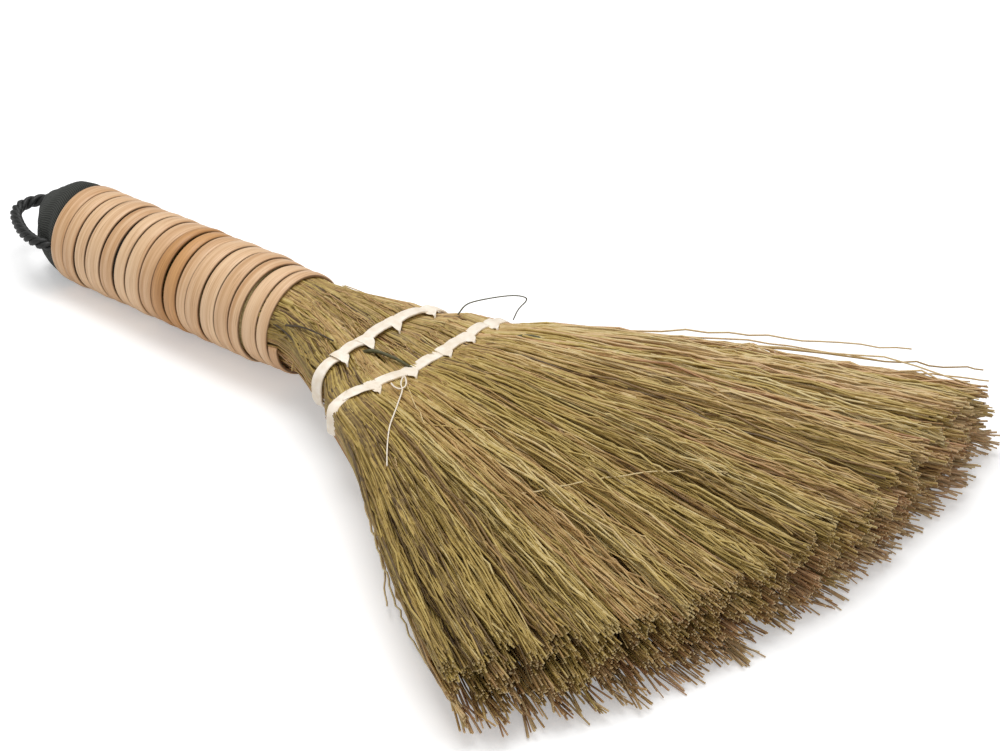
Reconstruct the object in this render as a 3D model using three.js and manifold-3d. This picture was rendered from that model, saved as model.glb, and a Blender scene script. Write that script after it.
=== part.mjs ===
// A straw hand broom, lying on its flat side as it would on a table.
// Four hanks of straw are bound into a round handle and sewn flat into a fan by two rows of cane.
// +X runs from the handle to the sweeping tips, +Y across the fan, +Z up, and z = 0 is the table.
// While the pieces are made, x = 0 is the edge of the handle's winding at the butt.
import * as THREE from "three";
import { mergeVertices } from "three/addons/utils/BufferGeometryUtils.js";
import Module from "manifold-3d";

const wasm = await Module();
wasm.setup();

// Driving dimensions, in millimetres and degrees
const FIT_GAP = 0.3; // between pieces that touch
const REST_CUT = 0.5; // how deep the table flattens the lowest strands
const HANDLE_TILT = THREE.MathUtils.degToRad(2.7); // the neck lies higher than the butt
const WRAP_LENGTH = 125;
const WRAP_RADIUS_BUTT = 19.6;
const WRAP_RADIUS_NECK = 20.6;
const SPLINT_WIDTH = 6.2;
const SPLINT_THICKNESS = 1.1;
const SPLINT_TURNS = { butt: 8, middle: 2, neck: 7 }; // three splints, wound one after another
const WRAP_END_ANGLE = THREE.MathUtils.degToRad(-160); // the last splint ends low on the near side
const STEPS_PER_TURN = 24;
const SLEEVE_WALL = 1.6;
const SLEEVE_LENGTH = 62; // under the winding
const CAP_LENGTH = 13; // past the winding
const CAP_END_RADIUS = 10.5;
const CAP_REST_X = -5; // where its shoulder lies on the table
const CAP_DENT = 0.35; // how deep the table presses into the shoulder
const LOOP_CORD = 4;
const LOOP_REACH = 33; // from its pivot to the middle of its bend
const LOOP_HALF_WIDTH = 22;
const LOOP_PIVOT_X = -2.6;
const TAIL_SIZE = { length: 44, width: 4.5, thickness: 0.7 };
const TIE_PLACES = [82, 106];
const TIE_WIDTH = 5.2;
const TIE_DEPTH = 1.6;
const ROW_PLACES = [163, 184];
const BAND_WIDTH = 4;
const BAND_THICKNESS = 0.9;
const STITCH_WIDTH = 2.6;
const STITCH_THICKNESS = 0.7;
const STITCH_PLACES = [[-22.5, -9.7, 7.4, 25], [-26.5, -9.8, 10, 22.9, 37.8]];
const HANK_EDGES = [-0.985, -0.5, 0, 0.5, 0.985]; // as shares of the head's half width
const ROOT_X = 194; // where the packed straw ends and loose strands begin
const CORNER_X = 334; // tips at the fan's two corners
const MIDDLE_X = 365; // tips at the middle of its curved edge
const EDGE_BEND = 3; // how squarely the curved edge turns in to the corners
const FAN_HALF_WIDTH = 146;
const FAN_HALF_THICKNESS = 13.8;
const NECK_ARCH = 5.2; // how far the head arches up before it sinks
const STRAND_ROWS = 5;
const STRAND_COLUMNS = 18; // in each hank
const STRAND_ROOT = { width: 0.6, height: 1.4 };
const STRAND_TIP = { width: 2.6, height: 2.3 };
const TIP_SCATTER = 5; // how far a cut tip stands off the curved edge

// The packed head: place along x, half width, half thickness, and how square its oval section is
const HEAD_STATIONS = [
  [122, 19, 19, 2],
  [126, 19.3, 18.9, 2],
  [138, 22.8, 17.5, 2.2],
  [151, 29.5, 14.8, 2.6],
  [ROW_PLACES[0] - 4.5, 34.2, 12.4, 2.9],
  [ROW_PLACES[0] - 2.5, 34.6, 11.6, 3],
  [ROW_PLACES[0] + 2.5, 34.6, 11.6, 3],
  [ROW_PLACES[0] + 4.5, 38, 11.6, 3.2],
  [174, 42.5, 10.4, 3.6],
  [ROW_PLACES[1] - 4.5, 46.4, 8.8, 4],
  [ROW_PLACES[1] - 2.5, 47.6, 7.9, 4],
  [ROW_PLACES[1] + 2.5, 47.6, 7.9, 4],
  [ROW_PLACES[1] + 4.5, 51, 8.8, 3.8],
  [ROOT_X, 54, 9.6, 3.6],
];

// Sizes that follow from those above
const SHOULDER_DEPTH = WRAP_RADIUS_BUTT * Math.cos(HANDLE_TILT) - CAP_REST_X * Math.sin(HANDLE_TILT);
const AXIS_HEIGHT = SHOULDER_DEPTH - CAP_DENT; // of the handle's axis over the table, at x = 0
const WRAP_TURNS = SPLINT_TURNS.butt + SPLINT_TURNS.middle + SPLINT_TURNS.neck;
const WRAP_PITCH = (WRAP_LENGTH - SPLINT_WIDTH) / WRAP_TURNS;
const SLEEVE_DROP = SPLINT_THICKNESS + FIT_GAP; // from the winding's outside to the sleeve's
const CORE_DROP = SLEEVE_DROP + SLEEVE_WALL + FIT_GAP; // and to the stalks inside the sleeve

// The middle of the head's thickness: it leaves the handle along its axis and sinks to the table.
const spine = new THREE.QuadraticBezierCurve(
  new THREE.Vector2(121, AXIS_HEIGHT + 121 * Math.tan(HANDLE_TILT)),
  new THREE.Vector2(140, AXIS_HEIGHT + 140 * Math.tan(HANDLE_TILT) + NECK_ARCH),
  new THREE.Vector2(MIDDLE_X, FAN_HALF_THICKNESS + STRAND_TIP.height / 2 - REST_CUT),
);

const straw = new THREE.MeshStandardMaterial({ color: 0xa08a4e, roughness: 0.75 });
const stalk = new THREE.MeshStandardMaterial({ color: 0x9b8652, roughness: 0.8 });
const splint = new THREE.MeshStandardMaterial({ color: 0xcfa174, roughness: 0.5 });
const darkSplint = new THREE.MeshStandardMaterial({ color: 0xb5814c, roughness: 0.5 });
const sleeveCloth = new THREE.MeshStandardMaterial({ color: 0x33352f, roughness: 0.85 });
const loopCord = new THREE.MeshStandardMaterial({ color: 0x2e302d, roughness: 0.6 });
const cane = new THREE.MeshStandardMaterial({ color: 0xf1e6d8, roughness: 0.5 });
const twine = new THREE.MeshStandardMaterial({ color: 0xb9a57a, roughness: 0.9 });

// A closed geometry as a solid that can be joined and cut
function solidOf(geometry) {
  const bare = geometry.clone().deleteAttribute("normal").deleteAttribute("uv");
  const merged = mergeVertices(bare, 1e-4);
  return new wasm.Manifold(new wasm.Mesh({
    numProp: 3,
    vertProperties: merged.attributes.position.array,
    triVerts: new Uint32Array(merged.index.array),
  }));
}

function geometryOf(solid) {
  const made = solid.getMesh();
  const geometry = new THREE.BufferGeometry();
  geometry.setAttribute("position", new THREE.BufferAttribute(made.vertProperties, 3));
  geometry.setIndex(new THREE.BufferAttribute(made.triVerts, 1));
  geometry.computeVertexNormals();
  return geometry;
}

// A closed skin over a row of convex rings, each running anticlockwise seen from the last one
function loft(rings) {
  const size = rings[0].length;
  const last = (rings.length - 1) * size;
  const index = [];
  for (let r = 0; r < last; r += size) {
    for (let i = 0; i < size; i++) {
      const a = r + i;
      const b = r + (i + 1) % size;
      index.push(a, b, b + size, a, b + size, a + size);
    }
  }
  for (let i = 1; i + 1 < size; i++) {
    index.push(0, i + 1, i, last, last + i, last + i + 1);
  }
  const geometry = new THREE.BufferGeometry().setFromPoints(rings.flat());
  geometry.setIndex(index);
  geometry.computeVertexNormals();
  return geometry;
}

function box(low, high) {
  const size = new THREE.Vector3().subVectors(high, low);
  const middle = new THREE.Vector3().addVectors(low, high).multiplyScalar(0.5);
  return new THREE.BoxGeometry(size.x, size.y, size.z).translate(middle.x, middle.y, middle.z);
}

function piece(name, geometry, material) {
  const made = new THREE.Mesh(geometry, material);
  made.name = name;
  return made;
}

// A profile of (radius, place along x) points, turned about the x axis
function turned(profile, sides) {
  const points = profile.map(([radius, x]) => new THREE.Vector2(radius, x));
  return new THREE.LatheGeometry(points, sides).rotateZ(-Math.PI / 2);
}

// A number from -1 to 1 that looks random and is the same on every run
function scatter(seed) {
  const wave = Math.sin(seed * 12.9898) * 43758.5453;
  return 2 * (wave - Math.floor(wave)) - 1;
}

function wrapRadius(x) {
  return THREE.MathUtils.lerp(WRAP_RADIUS_BUTT, WRAP_RADIUS_NECK, x / WRAP_LENGTH);
}

function spineHeight(x) {
  const { v0, v1, v2 } = spine;
  const a = v0.x - 2 * v1.x + v2.x;
  const b = 2 * (v1.x - v0.x);
  const t = (Math.sqrt(b * b - 4 * a * (v0.x - x)) - b) / (2 * a);
  return spine.getPoint(t).y;
}

// Half the height of an oval section at a share of its half width
function ovalHeight(halfThickness, squareness, share) {
  return halfThickness * Math.pow(1 - Math.pow(Math.abs(share), squareness), 1 / squareness);
}

// One hank's share of an oval section at x, between two places across it, a gap clear of its neighbours
function sliceRing(x, height, [halfWidth, halfThickness, squareness], edges) {
  const steps = 5;
  const from = edges[0] + FIT_GAP / 2;
  const to = edges[1] - FIT_GAP / 2;
  const lower = [];
  const upper = [];
  for (let i = 0; i <= steps; i++) {
    const y = THREE.MathUtils.lerp(from, to, i / steps);
    const rise = ovalHeight(halfThickness, squareness, y / halfWidth);
    lower.push(new THREE.Vector3(x, y, height - rise));
    upper.unshift(new THREE.Vector3(x, y, height + rise));
  }
  return [...lower, ...upper];
}

// A loose strand from the packed head to its cut tip, thin at the root and spread at the tip
function strand(hank, row, column) {
  const [, halfWidth, halfThickness, squareness] = HEAD_STATIONS.at(-1);
  const hanks = HANK_EDGES.length - 1;
  const side = hank < hanks / 2 ? 1 : -1; // the far half of the fan mirrors the near half
  const like = side > 0 ? hank : hanks - 1 - hank;
  const seed = (like * STRAND_ROWS + row) * STRAND_COLUMNS + column + 1;
  const level = 2 * row / (STRAND_ROWS - 1) - 1; // -1 at the table, 1 on top
  const stagger = row % 2 ? 0.64 : 0.36;
  const across = (column + stagger) / STRAND_COLUMNS;
  const inset = 0.008; // keeps the strands clear of the next hank's
  const share = side * THREE.MathUtils.lerp(HANK_EDGES[like] + inset, HANK_EDGES[like + 1] - inset, across);
  const packed = 0.92 * ovalHeight(halfThickness, squareness, share) - 0.9;
  const uneven = 0.06 * scatter(seed + 0.5);
  const rootHeight = spineHeight(ROOT_X) + (level + uneven) * packed;
  const root = new THREE.Vector3(ROOT_X, share * halfWidth, rootHeight);
  const bend = Math.pow(Math.abs(share), EDGE_BEND);
  const edge = CORNER_X + (MIDDLE_X - CORNER_X) * (1 - bend);
  const tip = new THREE.Vector3(edge, share * FAN_HALF_WIDTH, spine.v2.y + level * FAN_HALF_THICKNESS);
  const reach = 1 + TIP_SCATTER * scatter(seed) / (edge - ROOT_X);
  const flat = level < 0 ? -0.5 : 0.5; // the flat side faces away from the fan's middle
  const ring = (at, { width, height }) => {
    const middle = new THREE.Vector3().lerpVectors(root, tip, at);
    const ridge = new THREE.Vector3(0, 0, -flat * height).add(middle);
    const left = new THREE.Vector3(0, -width / 2, flat * height).add(middle);
    const right = new THREE.Vector3(0, width / 2, flat * height).add(middle);
    return flat > 0 ? [left, ridge, right] : [right, ridge, left];
  };
  return loft([ring(0, STRAND_ROOT), ring(reach, STRAND_TIP)]);
}

// The place, oval section and outside heights of the head where a row of sewing lies
function rowSection(row) {
  const x = ROW_PLACES[row];
  const [, halfWidth, halfThickness, squareness] = HEAD_STATIONS.find(([at]) => at === x - 2.5);
  return { x, halfWidth, halfThickness, squareness, height: spineHeight(x) };
}

// Outline of an oval section grown by a margin, in its own plane
function ovalPoints({ halfWidth, halfThickness, squareness }, margin) {
  const count = 44;
  const points = [];
  for (let i = 0; i < count; i++) {
    const angle = 2 * Math.PI * i / count;
    const c = Math.cos(angle);
    const s = Math.sin(angle);
    const bend = 2 / squareness;
    const y = (halfWidth + margin) * Math.sign(c) * Math.pow(Math.abs(c), bend);
    const z = (halfThickness + margin) * Math.sign(s) * Math.pow(Math.abs(s), bend);
    points.push(new THREE.Vector2(y, z));
  }
  return points;
}

// A flat cane laid round the head, in the waist that it pulls into the straw
function caneBand(row) {
  const section = rowSection(row);
  const ring = new THREE.Shape(ovalPoints(section, FIT_GAP + BAND_THICKNESS));
  ring.holes.push(new THREE.Path(ovalPoints(section, FIT_GAP)));
  const upright = new THREE.Matrix4().makeBasis(
    new THREE.Vector3(0, 1, 0),
    new THREE.Vector3(0, 0, 1),
    new THREE.Vector3(1, 0, 0),
  );
  const band = new THREE.ExtrudeGeometry(ring, { depth: BAND_WIDTH, bevelEnabled: false });
  band.applyMatrix4(upright);
  return piece(`cane_band_${row + 1}`, band.translate(section.x - BAND_WIDTH / 2, 0, section.height), cane);
}

// Half the outline of a stitch seen from the side, grown by a margin: over the band, then into the straw
function stitchHalf(surface, margin) {
  const top = surface + FIT_GAP + BAND_THICKNESS + FIT_GAP + margin;
  const back = -BAND_WIDTH / 2 - FIT_GAP - margin;
  const front = BAND_WIDTH / 2 + FIT_GAP + margin;
  const slant = 2.2; // how far the flap runs on toward the tips before it dives
  return [
    new THREE.Vector2(front + slant, surface - 1),
    new THREE.Vector2(front, top),
    new THREE.Vector2(back, top),
  ];
}

// A closed loop of cane that goes over the band, down through the head, and under the band below
function stitch(row, number) {
  const section = rowSection(row);
  const y = STITCH_PLACES[row][number];
  const inner = Math.max(0, Math.abs(y) - STITCH_WIDTH / 2);
  const surface = ovalHeight(section.halfThickness, section.squareness, inner / section.halfWidth);
  const outline = (margin) => {
    const half = stitchHalf(surface, margin);
    return [...half, ...half.map((p) => new THREE.Vector2(p.x, -p.y)).reverse()];
  };
  const side = new THREE.Shape(outline(STITCH_THICKNESS));
  side.holes.push(new THREE.Path(outline(0)));
  const loop = new THREE.ExtrudeGeometry(side, { depth: STITCH_WIDTH, bevelEnabled: false });
  loop.rotateX(Math.PI / 2).translate(section.x, y + STITCH_WIDTH / 2, section.height);
  return piece(`cane_stitch_${row + 1}_${number + 1}`, loop, cane);
}

// The parting that a stitch makes in the straw
function stitchParting(row, number) {
  const { x, height, halfThickness } = rowSection(row);
  const y = STITCH_PLACES[row][number];
  const half = STITCH_WIDTH / 2 + FIT_GAP;
  const back = BAND_WIDTH / 2 + 2 * FIT_GAP + STITCH_THICKNESS;
  const front = back + 2.2 + FIT_GAP;
  const deep = halfThickness + 4;
  return box(
    new THREE.Vector3(x - back, y - half, height - deep),
    new THREE.Vector3(x + front, y + half, height + deep),
  );
}

// The table, as a block that flattens what would reach below it
const table = box(new THREE.Vector3(-100, -300, -50), new THREE.Vector3(500, 300, 0));

// The straw of one hank: packed from the handle's mouth past the sewing, and loose to the tips
function strawHank(hank, partings) {
  const rings = HEAD_STATIONS.map(([x, ...section]) => {
    const edges = [HANK_EDGES[hank] * section[0], HANK_EDGES[hank + 1] * section[0]];
    return sliceRing(x, spineHeight(x), section, edges);
  });
  const parts = [solidOf(loft(rings))];
  for (let row = 0; row < STRAND_ROWS; row++) {
    for (let column = 0; column < STRAND_COLUMNS; column++) {
      parts.push(solidOf(strand(hank, row, column)));
    }
  }
  const whole = partings.reduce((rest, cut) => rest.subtract(cut), wasm.Manifold.union(parts));
  return piece(`straw_hank_${hank + 1}`, geometryOf(whole.subtract(solidOf(table))), straw);
}

// The stalks of one hank inside the handle, waisted under each tie
function stalkButts(hank) {
  const inSleeve = (x) => wrapRadius(x) - CORE_DROP;
  const inWrap = (x) => wrapRadius(x) - SLEEVE_DROP;
  const half = TIE_WIDTH / 2 + FIT_GAP;
  const stations = [
    [-CAP_LENGTH + 4, inSleeve(0)],
    [0, inSleeve(0)],
    [SLEEVE_LENGTH + FIT_GAP, inSleeve(SLEEVE_LENGTH)],
    [SLEEVE_LENGTH + FIT_GAP, inWrap(SLEEVE_LENGTH)],
  ];
  for (const at of TIE_PLACES) {
    stations.push([at - half, inWrap(at)], [at - half, inWrap(at) - TIE_DEPTH]);
    stations.push([at + half, inWrap(at) - TIE_DEPTH], [at + half, inWrap(at)]);
  }
  stations.push([WRAP_LENGTH - 4.5, inWrap(WRAP_LENGTH)]);
  // The planes between hanks run straight on, and only the outside steps in and out.
  const edge = (share, radius) => share * (Math.abs(share) > 0.9 ? radius : inSleeve(0));
  const rings = stations.map(([x, radius]) => {
    const edges = [edge(HANK_EDGES[hank], radius), edge(HANK_EDGES[hank + 1], radius)];
    return sliceRing(x, 0, [radius, radius, 2], edges);
  });
  return piece(`stalk_butts_${hank + 1}`, loft(rings), stalk);
}

// A few turns of twine that bind the stalks before the handle is wound
function stalkTie(number) {
  const at = TIE_PLACES[number];
  const outer = wrapRadius(at - TIE_WIDTH / 2) - SLEEVE_DROP;
  const inner = wrapRadius(at) - SLEEVE_DROP - TIE_DEPTH + FIT_GAP;
  const half = TIE_WIDTH / 2;
  const round = half / 3; // the swell of the outer turns of twine
  const profile = [
    [inner, at - half],
    [outer - round / 2, at - half],
    [outer, at - half + round],
    [outer, at + half - round],
    [outer - round / 2, at + half],
    [inner, at + half],
    [inner, at - half],
  ];
  return piece(`stalk_tie_${number + 1}`, turned(profile, 24), twine);
}

// One splint, wound from one turn of the handle to another
function splintRings(fromTurn, toTurn) {
  const rings = [];
  const steps = Math.round((toTurn - fromTurn) * STEPS_PER_TURN);
  for (let i = 0; i <= steps; i++) {
    const turn = THREE.MathUtils.lerp(fromTurn, toTurn, i / steps);
    const angle = WRAP_END_ANGLE + 2 * Math.PI * (WRAP_TURNS - turn);
    const middle = SPLINT_WIDTH / 2 + turn * WRAP_PITCH;
    const corner = (across, drop) => {
      const x = middle + across * SPLINT_WIDTH / 2;
      const radius = wrapRadius(x) - drop;
      return new THREE.Vector3(x, radius * Math.cos(angle), radius * Math.sin(angle));
    };
    rings.push([
      corner(1, SPLINT_THICKNESS),
      corner(-1, SPLINT_THICKNESS),
      corner(-1, 0),
      corner(1, 0),
    ]);
  }
  return rings;
}

// The least distance between points of a winding that are more than half a turn apart
function leastGap(rings) {
  let least = Infinity;
  for (let i = 0; i < rings.length; i++) {
    for (let j = i + STEPS_PER_TURN / 2; j < rings.length; j++) {
      for (const p of rings[i]) {
        for (const q of rings[j]) {
          least = Math.min(least, p.distanceTo(q));
        }
      }
    }
  }
  return least;
}

function splintWrap(name, fromTurn, turns, material) {
  const endGap = 0.02; // of a turn, between one splint's end and the next one's start
  const rings = splintRings(fromTurn + endGap, fromTurn + turns - endGap);
  console.log(`${name}: least gap between its turns ${leastGap(rings).toFixed(2)} mm`);
  return piece(name, loft(rings), material);
}

// A cloth sleeve over the stalks, closed by a cap whose shoulder stands as high as the winding.
// The handle lies on that shoulder, so the table flattens it.
function endSleeve(handleMatrix) {
  const shoulder = wrapRadius(0);
  const neck = wrapRadius(0) - SLEEVE_DROP;
  const mouth = wrapRadius(SLEEVE_LENGTH) - SLEEVE_DROP;
  const dome = new THREE.CubicBezierCurve(
    new THREE.Vector2(CAP_END_RADIUS, -CAP_LENGTH),
    new THREE.Vector2(CAP_END_RADIUS + 3.5, -CAP_LENGTH + 0.6),
    new THREE.Vector2(shoulder, -CAP_LENGTH + 4),
    new THREE.Vector2(shoulder, -CAP_LENGTH + 8),
  );
  const profile = [
    [0, -CAP_LENGTH],
    ...dome.getPoints(6).map((p) => [p.x, p.y]),
    [shoulder, -1.6],
    [neck, -FIT_GAP],
    [mouth, SLEEVE_LENGTH],
    [mouth - SLEEVE_WALL, SLEEVE_LENGTH],
    [wrapRadius(0) - SLEEVE_DROP - SLEEVE_WALL, 0],
    [wrapRadius(0) - SLEEVE_DROP - SLEEVE_WALL, -CAP_LENGTH + 3.5],
    [0, -CAP_LENGTH + 3.5],
  ];
  const tableInHandle = table.clone().applyMatrix4(handleMatrix.clone().invert());
  const cuts = [tableInHandle, loopTailBox(-1, FIT_GAP), loopTailBox(1, FIT_GAP)];
  const sleeve = cuts.reduce((rest, cut) => rest.subtract(solidOf(cut)), solidOf(turned(profile, 36)));
  return piece("end_sleeve", geometryOf(sleeve), sleeveCloth);
}

// Where one flattened end of the hanging cord lies, let into the sleeve under the winding
function loopTailBox(side, margin) {
  const top = wrapRadius(0) - SLEEVE_DROP;
  const low = new THREE.Vector3(
    1 - margin,
    side * top - (side > 0 ? TAIL_SIZE.thickness + margin : 1.5 * margin),
    -TAIL_SIZE.width / 2 - margin,
  );
  const high = new THREE.Vector3(
    1 + TAIL_SIZE.length + margin,
    side * top + (side > 0 ? 1.5 * margin : TAIL_SIZE.thickness + margin),
    TAIL_SIZE.width / 2 + margin,
  );
  return box(low, high);
}

// The hanging loop: a cord bent round from one side of the cap to the other, with rounded roots
function hangingLoop() {
  const route = [];
  const points = 24;
  for (let i = 0; i <= points; i++) {
    const angle = Math.PI * i / points;
    const x = -LOOP_REACH * Math.sin(angle);
    route.push(new THREE.Vector3(x, -LOOP_HALF_WIDTH * Math.cos(angle), 0));
  }
  const sides = 10;
  const section = new THREE.Shape();
  section.absarc(0, 0, LOOP_CORD / 2, 0, 2 * Math.PI);
  const cord = new THREE.ExtrudeGeometry(section, {
    steps: 32,
    curveSegments: sides / 2,
    extrudePath: new THREE.CatmullRomCurve3(route),
  });
  const root = new THREE.SphereGeometry(LOOP_CORD / 2, sides, 6);
  const roots = [-1, 1].map((side) => root.clone().translate(0, side * LOOP_HALF_WIDTH, 0));
  const whole = roots.reduce((rest, end) => rest.add(solidOf(end)), solidOf(cord));
  return piece("hanging_loop", geometryOf(whole), loopCord);
}

// Assembly: the handle is one tilted group, with the loop on its own pivot inside it
const handle = new THREE.Group();
handle.rotation.y = -HANDLE_TILT;
handle.position.z = AXIS_HEIGHT;
handle.updateMatrix();

const loopPivot = new THREE.Group();
loopPivot.position.x = LOOP_PIVOT_X;
loopPivot.add(hangingLoop());
handle.add(loopPivot, endSleeve(handle.matrix));
handle.add(piece("loop_tail_near", loopTailBox(-1, 0), loopCord));
handle.add(piece("loop_tail_far", loopTailBox(1, 0), loopCord));
TIE_PLACES.forEach((_, number) => handle.add(stalkTie(number)));
const middleTurn = SPLINT_TURNS.butt;
const neckTurn = SPLINT_TURNS.butt + SPLINT_TURNS.middle;
handle.add(splintWrap("splint_wrap_butt", 0, SPLINT_TURNS.butt, splint));
handle.add(splintWrap("splint_wrap_middle", middleTurn, SPLINT_TURNS.middle, darkSplint));
handle.add(splintWrap("splint_wrap_neck", neckTurn, SPLINT_TURNS.neck, splint));

const head = new THREE.Group();
const partings = [];
ROW_PLACES.forEach((_, row) => {
  head.add(caneBand(row));
  STITCH_PLACES[row].forEach((_, number) => {
    head.add(stitch(row, number));
    partings.push(solidOf(stitchParting(row, number)));
  });
});
for (let hank = 0; hank + 1 < HANK_EDGES.length; hank++) {
  handle.add(stalkButts(hank));
  head.add(strawHank(hank, partings));
}

// The origin stands on the table under the middle of the whole broom.
const broom = new THREE.Group();
broom.add(handle, head);
broom.updateMatrixWorld(true);
const middle = new THREE.Box3().setFromObject(broom, true).getCenter(new THREE.Vector3());
broom.position.set(-middle.x, -middle.y, 0);

export default broom;
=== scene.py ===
"""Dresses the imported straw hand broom: straw, rattan winding, sleeve, loop and cane sewing.

Lengths in the dataclasses are millimetres, as in the part's source. Meshes are metres in the row
frame: +X from the handle to the sweeping tips, +Y across the fan, +Z up, and z = 0 the table.
"""
import logging
import math
from dataclasses import dataclass, field
from enum import Enum
from typing import Any, Iterable, Optional, Sequence

import bmesh
import bpy
import numpy as np
from bmesh.types import BMesh, BMVert
from bpy.types import ID, Material, Mesh, Node, NodeSocket, NodeTree, Object
from mathutils import Euler, Matrix, Vector
from numpy.random import Generator


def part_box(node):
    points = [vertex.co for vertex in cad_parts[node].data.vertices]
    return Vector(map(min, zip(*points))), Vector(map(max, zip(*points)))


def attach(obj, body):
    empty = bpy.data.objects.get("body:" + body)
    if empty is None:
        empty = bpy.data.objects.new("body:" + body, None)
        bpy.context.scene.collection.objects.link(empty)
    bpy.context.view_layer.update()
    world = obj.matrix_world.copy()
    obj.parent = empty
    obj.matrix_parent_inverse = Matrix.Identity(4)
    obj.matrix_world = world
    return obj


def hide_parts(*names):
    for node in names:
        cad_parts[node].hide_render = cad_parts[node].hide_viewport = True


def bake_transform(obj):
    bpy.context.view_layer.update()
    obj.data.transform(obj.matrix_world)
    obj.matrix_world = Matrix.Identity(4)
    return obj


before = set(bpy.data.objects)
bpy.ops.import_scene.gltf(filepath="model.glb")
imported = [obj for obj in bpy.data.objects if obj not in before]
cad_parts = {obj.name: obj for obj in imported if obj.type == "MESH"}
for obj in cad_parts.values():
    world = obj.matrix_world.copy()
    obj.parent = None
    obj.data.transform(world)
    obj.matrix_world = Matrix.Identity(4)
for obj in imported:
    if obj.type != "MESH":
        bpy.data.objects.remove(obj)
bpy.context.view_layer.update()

Array = np.ndarray
Pair = tuple[float, float]
Point = tuple[float, float, float]
Line = tuple[Point, ...]
Table = tuple[tuple[float, ...], ...]

MM = 0.001
BROOM = "broom"
# How far the lowest points of a piece stay over the table, in millimetres
TABLE_GAP = 0.04
# A Mix node's sockets for colours: its two inputs, and its result
MIX_A, MIX_B, MIX_RESULT = 6, 7, 2
log = logging.getLogger("broom")


# Helpers shared by every piece

def linear(hex_colour: str) -> tuple[float, float, float, float]:
    """Turns an sRGB hex colour into the linear colour that a shader takes.

    Args:
        hex_colour: six hex digits, with or without a leading hash.

    Returns:
        Red, green, blue and an alpha of 1.
    """
    digits = hex_colour.lstrip("#")
    parts = [int(digits[i:i + 2], 16) / 255 for i in (0, 2, 4)]
    red, green, blue = (c / 12.92 if c <= 0.04045 else ((c + 0.055) / 1.055) ** 2.4 for c in parts)
    return red, green, blue, 1.0


def add_node(
    tree: NodeTree,
    kind: str,
    inputs: Optional[dict[Any, Any]] = None,
    stops: Sequence[tuple[float, str]] = (),
    **settings: Any,
) -> Node:
    """Adds a shader node with its settings, values and links.

    Args:
        tree: the material's node tree.
        kind: the node's type name.
        inputs: socket name or number, to a value or to the output socket that feeds it.
        stops: places and hex colours of a colour ramp.
        settings: attributes of the node itself.

    Returns:
        The new node.
    """
    node = tree.nodes.new(kind)
    for name, value in settings.items():
        setattr(node, name, value)
    for name, value in (inputs or {}).items():
        if isinstance(value, NodeSocket):
            tree.links.new(value, node.inputs[name])
        else:
            node.inputs[name].default_value = value
    for number, (place, colour) in enumerate(stops):
        elements = node.color_ramp.elements
        element = elements[number] if number < 2 else elements.new(place)
        element.position = place
        element.color = linear(colour)
    return node


def new_material(name: str) -> tuple[Material, NodeTree, Node]:
    """Starts a node material.

    Args:
        name: its name.

    Returns:
        The material, its node tree and its main shader.
    """
    material = bpy.data.materials.new(name)
    material.use_nodes = True
    return material, material.node_tree, material.node_tree.nodes["Principled BSDF"]


def new_object(name: str, data: ID) -> Object:
    """Links data to the scene as an object at the origin.

    Args:
        name: the object's name.
        data: its mesh, curve, camera or lamp.

    Returns:
        The new object.
    """
    made = bpy.data.objects.new(name, data)
    bpy.context.scene.collection.objects.link(made)
    return made


def from_bmesh(name: str, form: BMesh, smooth: bool = True) -> Object:
    """Ends a bmesh and makes it an object.

    Args:
        name: the object's name.
        form: the finished bmesh, which is freed.
        smooth: whether its faces are shaded smooth.

    Returns:
        The new object.
    """
    mesh = bpy.data.meshes.new(name)
    form.to_mesh(mesh)
    form.free()
    mesh.polygons.foreach_set("use_smooth", [smooth] * len(mesh.polygons))
    return new_object(name, mesh)


def add_attribute(mesh: Mesh, name: str, values: Array) -> None:
    """Stores one number per vertex for a material to read."""
    mesh.attributes.new(name, "FLOAT", "POINT").data.foreach_set("value", values.astype(np.float32))


def vertex_places(mesh: Mesh) -> Array:
    """Reads a mesh's points.

    Args:
        mesh: the mesh.

    Returns:
        One row of millimetres for each point.
    """
    flat = np.empty(len(mesh.vertices) * 3, np.float32)
    mesh.vertices.foreach_get("co", flat)
    return flat.reshape(-1, 3) / MM


def bell(value: Array, middle: float, spread: float) -> Array:
    """A bell curve: 1 at its middle, and next to nothing two spreads away."""
    return np.exp(-((value - middle) / spread) ** 2)


def read_table(table: Table, place: Array, column: int = 1) -> Array:
    """Reads a column of a table at places in its first column, evenly between its rows."""
    rows = np.array(table)
    return np.interp(place, rows[:, 0], rows[:, column])


def run_lengths(route: Array) -> Array:
    """How far along a route each of its points lies."""
    return np.concatenate([[0], np.cumsum(np.linalg.norm(np.diff(route, axis=0), axis=1))])


def rounded_route(route: Array, times: int) -> Array:
    """Rounds the corners of a route.

    Args:
        route: its points.
        times: how often its points are doubled and each is drawn towards its neighbours.

    Returns:
        The rounded route's points.
    """
    for _ in range(times):
        route = np.repeat(route, 2, axis=0)
        route[1:-1] = (route[:-2] + 2 * route[1:-1] + route[2:]) / 4
    return route


def rest_on_table(form: BMesh) -> None:
    """Presses the lowest points of a bmesh, in metres, flat just clear of the table."""
    for vert in form.verts:
        vert.co.z = max(vert.co.z, TABLE_GAP * MM)


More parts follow.
